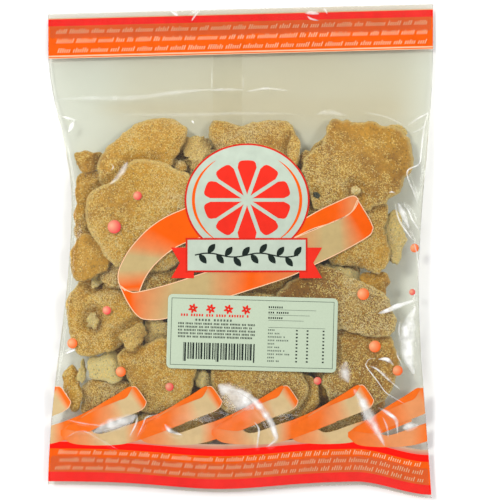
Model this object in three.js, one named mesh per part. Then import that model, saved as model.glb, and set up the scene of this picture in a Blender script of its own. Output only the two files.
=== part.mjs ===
// A sealed clear film pack of sugared orange peel, lying on its back with its printed front up.
//
// Two solids stand for it. The pack is the space inside the film, with the flat heat seals at both
// ends: a shut pack's contents fill it, so it is one closed body. The label is the paper sticker on
// the front. The film is a flat tube, so the pack's outline draws in at the waist where the peel
// fills it out, its back lies flat on the table, and its side folds stand clear of the table.
//
// Frame: millimetres, +Z up, +X to the right and +Y towards the top seal as the front is read. The
// origin is on the table, under the middle of the pack's box.
import * as THREE from "three";

// Driving sizes of the outline, seen from above.
const HALF_WIDTH = 80; // half of the flat tube's width, met at the top seal
const HALF_HEIGHT = 102.5; // half of the distance between the furthest corners of the two ends
const TOP_SLANT = 4.1; // how much further the top end reaches on the right than on the left
const BOTTOM_RISE = 5.6; // how far the bottom end stays short of its lowest corner
const BOTTOM_BELLY = { dip: 3.2, middle: 0.45, spread: 0.2 }; // the bottom end sags near its middle
const CORNER_DROP_FROM = 0.8; // share of the width where the bottom end turns down to its corner
const LEFT_WAIST = { depth: 9.9, at: 0.6, above: 0.33, below: 0.62 };
const RIGHT_WAIST = { depth: 6.1, at: 0.43, above: 0.5, below: 0.55 };

// Driving sizes of the thickness. Shares are of the height, from the bottom end to the top end.
const FILM = 0.7; // thickness of the seals and of the side folds
const CROWN = 26; // height of the middle of the front over the table
const FILL = { starts: 0.065, fullFrom: 0.25, fullTo: 0.6, ends: 0.85 };
const RESTS = { starts: 0.065, fullFrom: 0.19, fullTo: 0.8, ends: 0.93 };
const BOTTOM_SEAL_HEIGHT = 5; // of the seals and side folds over the table
const TOP_SEAL_HEIGHT = 2.4;
const SIDE_LIFT = 5.5; // how much the filling raises the side folds
const FLAT_BACK = 0.56; // share of the half width over which the back lies on the table
const DOME = { power: 2.4, root: 0.72 }; // cross section of the front

// Relief of the front: bulges over the pieces of peel, and pleats that run up from the bottom seal.
const BULGE = { height: 1.1, across: 2.6, along: 3.8 };
const PLEAT = { height: 1.6, count: 8, reach: 0.07, growth: 0.025 };

// The label.
const LABEL_SIZE = { width: 70, height: 32, corner: 2 };
const LABEL_CENTRE = { x: 4.8, y: -33.9 };
const LABEL_TURN = THREE.MathUtils.degToRad(-1.6);
const LABEL_GAP = 0.35; // left under the label, so that the two solids stay apart
const LABEL_THICKNESS = 0.3;
const LABEL_CALM = 14; // distance over which the bulges fade out round the label

// Facets.
const PACK_COLUMNS = 34;
const PACK_ROWS = 44;
const LABEL_COLUMNS = 14;
const LABEL_ROWS = 6; // between the rounded corners
const CORNER_STEPS = 3;

const smooth = THREE.MathUtils.smoothstep;
const lerp = THREE.MathUtils.lerp;

// How far a side fold is drawn in at height share v: a raised cosine, wider on one side of its peak.
function drawnIn(v, waist) {
  const reach = v > waist.at ? waist.above : waist.below;
  const phase = Math.min(Math.abs(v - waist.at) / reach, 1);
  return waist.depth * Math.cos((phase * Math.PI) / 2) ** 2;
}

// 0 at the ends of a stretch of the height and 1 over its middle.
function plateau(v, stretch) {
  return smooth(v, stretch.starts, stretch.fullFrom) * (1 - smooth(v, stretch.fullTo, stretch.ends));
}

function bottomEnd(u) {
  const belly = BOTTOM_BELLY.dip * Math.exp(-(((u - BOTTOM_BELLY.middle) / BOTTOM_BELLY.spread) ** 2));
  return -HALF_HEIGHT + (BOTTOM_RISE - belly) * (1 - smooth(u, CORNER_DROP_FROM, 1));
}

function topEnd(u) {
  return HALF_HEIGHT - TOP_SLANT * (1 - u);
}

// Plan position of the film point at shares u across and v along the flat tube.
function planPoint(u, v) {
  const left = -HALF_WIDTH + drawnIn(v, LEFT_WAIST);
  const right = HALF_WIDTH - drawnIn(v, RIGHT_WAIST);
  return { x: lerp(left, right, u), y: lerp(bottomEnd(u), topEnd(u), v) };
}

// The film point over a plan position, found by correcting u and v in turn.
function filmPoint(x, y) {
  let u = 0.5;
  let v = 0.5;
  for (let step = 0; step < 8; step += 1) {
    v = (y - bottomEnd(u)) / (topEnd(u) - bottomEnd(u));
    const left = planPoint(0, v).x;
    const right = planPoint(1, v).x;
    u = (x - left) / (right - left);
  }
  return { u, v };
}

// Distance from a plan position to the label's rectangle, along the label's own axes.
function distanceToLabel(x, y) {
  const offset = new THREE.Vector2(x - LABEL_CENTRE.x, y - LABEL_CENTRE.y);
  offset.rotateAround(new THREE.Vector2(), -LABEL_TURN);
  const beyondX = Math.max(Math.abs(offset.x) - LABEL_SIZE.width / 2, 0);
  const beyondY = Math.max(Math.abs(offset.y) - LABEL_SIZE.height / 2, 0);
  return Math.hypot(beyondX, beyondY);
}

function seamHeight(v) {
  return lerp(BOTTOM_SEAL_HEIGHT, TOP_SEAL_HEIGHT, v) + SIDE_LIFT * plateau(v, FILL);
}

function dome(u) {
  const fromMiddle = Math.abs(2 * u - 1);
  return (1 - fromMiddle ** DOME.power) ** DOME.root;
}

function bulges(u, v) {
  const { x, y } = planPoint(u, v);
  const calm = smooth(distanceToLabel(x, y), 0, LABEL_CALM);
  const waves = Math.cos(2 * Math.PI * BULGE.across * u + 0.9) * Math.cos(2 * Math.PI * BULGE.along * v + 0.4);
  return BULGE.height * waves * calm * plateau(v, FILL) * dome(u);
}

function pleats(u, v) {
  const above = v - FILL.starts;
  if (above <= 0) return 0;
  const fade = (1 - Math.exp(-above / PLEAT.growth)) * Math.exp(-above / PLEAT.reach);
  return PLEAT.height * fade * (0.5 + 0.5 * Math.cos(2 * Math.PI * PLEAT.count * u + 1.3)) * dome(u);
}

function frontHeight(u, v) {
  const seam = seamHeight(v);
  const raised = (CROWN - seam) * plateau(v, FILL) * dome(u);
  return seam + FILM / 2 + raised + bulges(u, v) + pleats(u, v);
}

function backHeight(u, v) {
  const fromMiddle = Math.abs(2 * u - 1);
  const lying = plateau(v, RESTS) * (1 - smooth(fromMiddle, FLAT_BACK, 1));
  return (seamHeight(v) - FILM / 2) * (1 - lying);
}

// A closed shell from two grids of the same columns and rows: upper and lower give a grid point's
// position, and a wall joins the two grids round their rim.
function shellGeometry(columns, rows, upper, lower) {
  const positions = [];
  for (const surface of [upper, lower]) {
    for (let row = 0; row <= rows; row += 1) {
      for (let column = 0; column <= columns; column += 1) positions.push(...surface(column, row));
    }
  }
  const perGrid = (columns + 1) * (rows + 1);
  const top = (column, row) => row * (columns + 1) + column;
  const under = (column, row) => perGrid + top(column, row);
  const indices = [];
  const quad = (a, b, c, d) => indices.push(a, b, c, a, c, d);
  for (let row = 0; row < rows; row += 1) {
    for (let column = 0; column < columns; column += 1) {
      quad(top(column, row), top(column + 1, row), top(column + 1, row + 1), top(column, row + 1));
      quad(under(column, row), under(column, row + 1), under(column + 1, row + 1), under(column + 1, row));
    }
  }
  for (let column = 0; column < columns; column += 1) {
    quad(under(column, 0), under(column + 1, 0), top(column + 1, 0), top(column, 0));
    quad(under(column + 1, rows), under(column, rows), top(column, rows), top(column + 1, rows));
  }
  for (let row = 0; row < rows; row += 1) {
    quad(under(0, row + 1), under(0, row), top(0, row), top(0, row + 1));
    quad(under(columns, row), under(columns, row + 1), top(columns, row + 1), top(columns, row));
  }
  const geometry = new THREE.BufferGeometry();
  geometry.setAttribute("position", new THREE.Float32BufferAttribute(positions, 3));
  geometry.setIndex(indices);
  geometry.computeVertexNormals();
  return geometry;
}

// The pack: columns crowd towards the side folds, where the front turns down most steeply.
function packGeometry() {
  const share = (column) => 0.5 - 0.5 * Math.cos((Math.PI * column) / PACK_COLUMNS);
  const across = (column) => lerp(column / PACK_COLUMNS, share(column), 0.6);
  const surface = (height) => (column, row) => {
    const u = across(column);
    const v = row / PACK_ROWS;
    const { x, y } = planPoint(u, v);
    return [x, y, height(u, v)];
  };
  return shellGeometry(PACK_COLUMNS, PACK_ROWS, surface(frontHeight), surface(backHeight));
}

// Rows of the label as {y, halfWidth}: the rows in its rounded corners follow the corner's arc.
function labelRows() {
  const { width, height, corner } = LABEL_SIZE;
  const arc = [];
  for (let step = 0; step < CORNER_STEPS; step += 1) {
    const angle = (Math.PI / 2) * (step / CORNER_STEPS);
    const inwards = corner * (1 - Math.sin(angle));
    arc.push({ y: -height / 2 + corner * (1 - Math.cos(angle)), halfWidth: width / 2 - inwards });
  }
  const straight = [];
  for (let row = 0; row <= LABEL_ROWS; row += 1) {
    const y = lerp(-height / 2 + corner, height / 2 - corner, row / LABEL_ROWS);
    straight.push({ y, halfWidth: width / 2 });
  }
  const mirrored = arc.map(({ y, halfWidth }) => ({ y: -y, halfWidth })).reverse();
  return [...arc, ...straight, ...mirrored];
}

// The label: a thin sheet that lies along the front of the pack.
function labelGeometry() {
  const rows = labelRows();
  const surface = (lift) => (column, row) => {
    const across = lerp(-1, 1, column / LABEL_COLUMNS) * rows[row].halfWidth;
    const place = new THREE.Vector2(across, rows[row].y).rotateAround(new THREE.Vector2(), LABEL_TURN);
    const x = place.x + LABEL_CENTRE.x;
    const y = place.y + LABEL_CENTRE.y;
    const { u, v } = filmPoint(x, y);
    return [x, y, frontHeight(u, v) + lift];
  };
  const under = surface(LABEL_GAP);
  return shellGeometry(LABEL_COLUMNS, rows.length - 1, surface(LABEL_GAP + LABEL_THICKNESS), under);
}

function namedMesh(name, geometry, material) {
  const mesh = new THREE.Mesh(geometry, material);
  mesh.name = name;
  return mesh;
}

const filmMaterial = new THREE.MeshStandardMaterial({ color: 0xc39a52, roughness: 0.25, metalness: 0 });
const paperMaterial = new THREE.MeshStandardMaterial({ color: 0xd3dccb, roughness: 0.55, metalness: 0 });

const packet = new THREE.Group();
packet.add(namedMesh("pack", packGeometry(), filmMaterial));
packet.add(namedMesh("label", labelGeometry(), paperMaterial));

export default packet;
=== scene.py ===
"""A sealed clear bag of sugared orange peel, lying on its back with its printed front up.

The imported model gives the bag's box and the place of its paper label. Every shape here is worked
out in millimetres on a plan seen from above and then put into a mesh in metres. First the pieces
of peel are stacked downwards from the film, and a layer of them upwards from the table. Then the
film is drawn taut over them, and the printing and the label are laid on the film.
"""
import functools
import math
from typing import NamedTuple

import bpy
import numpy as np
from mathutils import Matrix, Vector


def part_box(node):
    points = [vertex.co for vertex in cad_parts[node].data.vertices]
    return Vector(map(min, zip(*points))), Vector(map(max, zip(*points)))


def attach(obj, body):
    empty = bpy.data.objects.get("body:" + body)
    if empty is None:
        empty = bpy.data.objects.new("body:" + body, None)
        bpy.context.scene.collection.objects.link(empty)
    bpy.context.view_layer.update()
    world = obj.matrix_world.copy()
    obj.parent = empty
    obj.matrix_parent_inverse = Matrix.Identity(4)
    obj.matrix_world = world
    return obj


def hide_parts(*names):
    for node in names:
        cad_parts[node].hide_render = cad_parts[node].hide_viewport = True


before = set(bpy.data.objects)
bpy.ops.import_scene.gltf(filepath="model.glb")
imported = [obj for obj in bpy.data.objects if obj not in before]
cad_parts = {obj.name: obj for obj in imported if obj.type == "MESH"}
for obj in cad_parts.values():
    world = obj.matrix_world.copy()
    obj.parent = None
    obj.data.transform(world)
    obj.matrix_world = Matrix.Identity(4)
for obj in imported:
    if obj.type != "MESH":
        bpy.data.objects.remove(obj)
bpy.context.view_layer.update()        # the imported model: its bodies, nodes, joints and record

bl_info = {
    "name": "Bag of sugared orange peel",
    "version": (1, 0, 0),
    "blender": (4, 5, 0),
    "location": "View3D > Sidebar > Peel Bag",
    "description": "Makes a clear pillow bag of sugared orange peel with its printing and label",
    "category": "Add Mesh",
}

MM = 0.001
BODY = "root"
PACK_HIGH = np.array(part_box("pack")[1]) / MM
LABEL_CENTRE = 0.5 * np.sum(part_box("label"), axis=0)[:2] / MM
LABEL_TURN = math.radians(-1.6)


# ---------------------------------------------------------------------------------------------
# Settings
# ---------------------------------------------------------------------------------------------

def length(name, description, default_mm):
    """A property for a length, given in millimetres and held in metres."""
    return bpy.props.FloatProperty(
        name=name, description=description, default=default_mm * MM, min=0.0, unit="LENGTH",
        precision=5,
    )


def colour(name, description, default):
    """A property for a colour in linear light."""
    return bpy.props.FloatVectorProperty(
        name=name, description=description, default=default, size=3, min=0.0, max=1.0,
        subtype="COLOR",
    )


class PeelSettings(bpy.types.PropertyGroup):
    thickness: length("Peel thickness", "Thickness of a piece of candied peel", 2.6)
    crystal: length("Crystal size", "Width of a loose grain of sugar", 0.46)
    crystals: bpy.props.IntProperty(
        name="Crystals", description="Number of loose grains of sugar", default=24000, min=0)
    rind: colour("Rind", "Golden colour of bare candied rind", (0.58, 0.29, 0.022))
    deep: colour("Deep rind", "Brown of the thick, wet parts", (0.27, 0.115, 0.013))
    pith: colour("Pith", "Pale inner side of the peel", (0.68, 0.56, 0.26))
    sugar: colour("Sugar", "Grains of sugar", (0.97, 0.7, 0.22))
    snow: colour("Thick sugar", "Where the sugar lies thick", (0.86, 0.73, 0.46))


class FilmSettings(bpy.types.PropertyGroup):
    gap: length("Film gap", "Space kept between the film and the peel", 0.3)
    fin_width: length("Fin width", "Width of the long seam folded flat on the back", 12.0)
    clear: colour("Film", "Light that one layer of film lets through", (0.891, 0.9, 0.857))
    fog: colour("Fog", "Light that the film and the dust on it scatter", (0.9, 0.92, 0.82))


class PrintSettings(bpy.types.PropertyGroup):
    stripe: length("Stripe", "Width of the red stripe at the top", 2.9)
    band: length("Band", "Width of the orange band", 12.2)
    dash_height: length("Dash height", "Height of the slanted dashes in the bands", 1.9)
    red: colour("Red", "Red of the stripes", (0.98, 0.008, 0.003))
    emblem: colour("Emblem red", "Red of the roundel, its tails and the label's print",
                   (0.74, 0.027, 0.014))
    orange: colour("Orange", "Orange of the bands", (0.8, 0.1, 0.004))
    deep: colour("Deep ribbon", "Ribbon where it turns over", (0.79, 0.1, 0.003))
    cream: colour("Cream", "Ribbon where it is palest", (0.475, 0.355, 0.16))
    row_deep: colour("Small ribbon", "Small ribbons where they are fullest", (0.82, 0.145, 0.012))
    row_cream: colour("Small ribbon cream", "Small ribbons where they are palest", (0.61, 0.445, 0.225))
    edge: colour("Edge", "Fine lines along the ribbons and under the bands", (0.82, 0.5, 0.3))
    pale: colour("Pale ink", "Ground of the roundel and the plate", (0.46, 0.53, 0.435))
    dark: colour("Dark ink", "Leaves on the plate and bars on the label", (0.012, 0.02, 0.016))
    pink: colour("Pink", "Pink of the small balls", (0.7, 0.04, 0.05))


class LabelSettings(bpy.types.PropertyGroup):
    width: length("Width", "Width of the paper label", 70.0)
    height: length("Height", "Height of the paper label", 30.6)
    corner: length("Corner", "Radius of the label's corners", 2.0)
    border: length("Border inset", "Distance of the printed border from the edge", 1.5)
    paper: colour("Paper", "Paper of the label", (0.477, 0.562, 0.418))


class StageSettings(bpy.types.PropertyGroup):
    camera_height: length("Camera height", "Height of the camera over the table", 2600.0)
    view_width: length("View width", "Width of the picture at the height of the seals", 207.5)
    floor: colour("Floor", "Pale floor", (0.97, 0.97, 0.97))
    key_power: bpy.props.FloatProperty(
        name="Key light", description="Strength of the left lamp", default=1.45, min=0.0)
    box_power: bpy.props.FloatProperty(
        name="Soft boxes", description="Power of each low soft box in watts", default=4.5, min=0.0)


# ---------------------------------------------------------------------------------------------
# Numbers on the plan
# ---------------------------------------------------------------------------------------------

CELL = 0.5  # spacing of the plan grid
GRID_X = np.arange(-84.0, 84.0 + CELL, CELL)
GRID_Y = np.arange(-106.0, 106.0 + CELL, CELL)
PLAN_X, PLAN_Y = np.meshgrid(GRID_X, GRID_Y)


def sample(field, x, y):
    """A plan grid's value at any place: the mean of the four grid points round it, by nearness."""
    column = np.clip((x - GRID_X[0]) / CELL, 0, GRID_X.size - 1.001)
    row = np.clip((y - GRID_Y[0]) / CELL, 0, GRID_Y.size - 1.001)
    i, j = column.astype(int), row.astype(int)
    fx, fy = column - i, row - j
    near = field[j, i] * (1 - fx) + field[j, i + 1] * fx
    far = field[j + 1, i] * (1 - fx) + field[j + 1, i + 1] * fx
    return near * (1 - fy) + far * fy


def smooth(value, low, high):
    """Smooth step: 0 below low, 1 above high, and 3t^2 - 2t^3 between them."""
    t = np.clip((value - low) / (high - low), 0, 1)
    return t * t * (3 - 2 * t)


def noise(x, y, size, seed):
    """Smooth noise from -1 to 1: random values on a square lattice, joined by 3t^2 - 2t^3."""
    lattice = 64
    table = np.random.default_rng(seed).uniform(-1, 1, (lattice, lattice))
    gx, gy = x / size, y / size
    i, j = np.floor(gx).astype(int), np.floor(gy).astype(int)
    tx, ty = gx - i, gy - j
    tx, ty = tx * tx * (3 - 2 * tx), ty * ty * (3 - 2 * ty)
    i, j = i % lattice, j % lattice
    right, above = (i + 1) % lattice, (j + 1) % lattice
    near = table[j, i] * (1 - tx) + table[j, right] * tx
    far = table[above, i] * (1 - tx) + table[above, right] * tx
    return near * (1 - ty) + far * ty


def soft_min(a, b, width):
    """The lower of a and b, rounded over where they are closer than width."""
    share = np.clip(0.5 + (b - a) / (2 * width), 0, 1)
    return b + (a - b) * share - width * share * (1 - share)


def spread(field, reach, rule):
    """Applies rule (lowest, highest or mean) over a square of 2 reach + 1 cells."""
    for axis in (0, 1):
        shifted = [np.roll(field, step, axis) for step in range(-reach, reach + 1)]
        field = rule(shifted)
    return field


def lowest(shifted):
    return functools.reduce(np.minimum, shifted)


def highest(shifted):
    return functools.reduce(np.maximum, shifted)


def mean(shifted):
    return sum(shifted) / len(shifted)


def curve(points, count):
    """Catmull-Rom curve through points: count places at even steps of its parameter."""
    p = np.array(points, float)
    p = np.vstack([2 * p[0] - p[1], p, 2 * p[-1] - p[-2]])
    t = np.linspace(0, len(points) - 1, count)
    i = np.minimum(t.astype(int), len(points) - 2)
    f = (t - i)[:, None]
    a, b, c, d = p[i], p[i + 1], p[i + 2], p[i + 3]
    return 0.5 * (2 * b + (c - a) * f + (2 * a - 5 * b + 4 * c - d) * f**2
                  + (3 * b - a - 3 * c + d) * f**3)


# ---------------------------------------------------------------------------------------------
# The bag's outline and its two faces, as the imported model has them
# ---------------------------------------------------------------------------------------------

HALF_WIDTH = PACK_HIGH[0]
HALF_HEIGHT = PACK_HIGH[1]
TOP_SLANT = 4.1  # how much further the top end reaches on the right than on the left
BOTTOM_RISE = 5.6  # how far the bottom end stays short of its lowest corner
CROWN = 26.0  # height of the middle of the front
SEAM_LOW, SEAM_HIGH, SIDE_LIFT = 5.0, 2.4, 5.5  # heights of the seals and lift of the side folds


def outline_sides(v):
    """Left and right x at height share v: the flat width less two raised cosines."""
    def drawn_in(depth, at, above, below):
        reach = np.where(v > at, above, below)
        return depth * np.cos(np.minimum(np.abs(v - at) / reach, 1) * math.pi / 2) ** 2
    return (-HALF_WIDTH + drawn_in(9.9, 0.6, 0.33, 0.62),
            HALF_WIDTH - drawn_in(6.1, 0.43, 0.5, 0.55))


def bottom_end(u):
    belly = 3.2 * np.exp(-(((u - 0.45) / 0.2) ** 2))
    return -HALF_HEIGHT + (BOTTOM_RISE - belly) * (1 - smooth(u, 0.8, 1))


def top_end(u):
    return HALF_HEIGHT - TOP_SLANT * (1 - u)


def plan_point(u, v):
    """Place on the plan of the point at shares u across and v up the flat tube of film."""
    left, right = outline_sides(v)
    return left + (right - left) * u, bottom_end(u) + (top_end(u) - bottom_end(u)) * v


def film_point(x, y):
    """Shares u and v of the film over a place on the plan, found by correcting them in turn."""
    u = np.full(np.shape(x), 0.5)
    for _ in range(8):
        v = (y - bottom_end(u)) / (top_end(u) - bottom_end(u))
        left, right = outline_sides(v)
        u = (x - left) / (right - left)
    return u, v


def plateau(v, starts, full_from, full_to, ends):
    return smooth(v, starts, full_from) * (1 - smooth(v, full_to, ends))


def fill_share(v):
    return plateau(v, 0.065, 0.25, 0.6, 0.85)


def seam_height(v):
    """Height of the side folds over the table: a straight rise plus the lift of the filling."""
    return SEAM_LOW + (SEAM_HIGH - SEAM_LOW) * v + SIDE_LIFT * fill_share(v)


def room_height(u, v):
    """Front of the filled bag without its lumps: the seam plus a dome (1 - m^2.4)^0.72."""
    from_middle = np.clip(np.abs(2 * u - 1), 0, 1)
    dome = (1 - from_middle**2.4) ** 0.72
    seam = seam_height(v)
    return seam + (CROWN - seam) * fill_share(v) * dome


def back_height(u, v):
    """Back of the bag: flat on the table in the middle, up to the seam at the rim."""
    from_middle = np.clip(np.abs(2 * u - 1), 0, 1)
    lying = plateau(v, 0.065, 0.19, 0.8, 0.93) * (1 - smooth(from_middle, 0.56, 1))
    return 0.35 + (seam_height(v) - 0.35) * (1 - lying)


# ---------------------------------------------------------------------------------------------
# The filling
# ---------------------------------------------------------------------------------------------

class Peel(NamedTuple):
    """A piece of peel. reach is the distance from its middle to its edge in even directions,
    from +X towards +Y. dome is how much its middle stands over its rim, and drop is how far it
    lies under the film. snow is how much more sugar it has for each 20 mm along X and Y. dimples
    are (x, y, radius, depth), and step is the spacing of its points."""
    at: tuple
    reach: tuple
    dome: float = 2.5
    drop: float = 0.0
    sugar: float = 0.6
    tone: float = 0.7
    pith: float = 0.0
    torn: float = 0.03
    snow: tuple = (0.0, 0.0)
    dimples: tuple = ()
    step: float = 0.36


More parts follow.
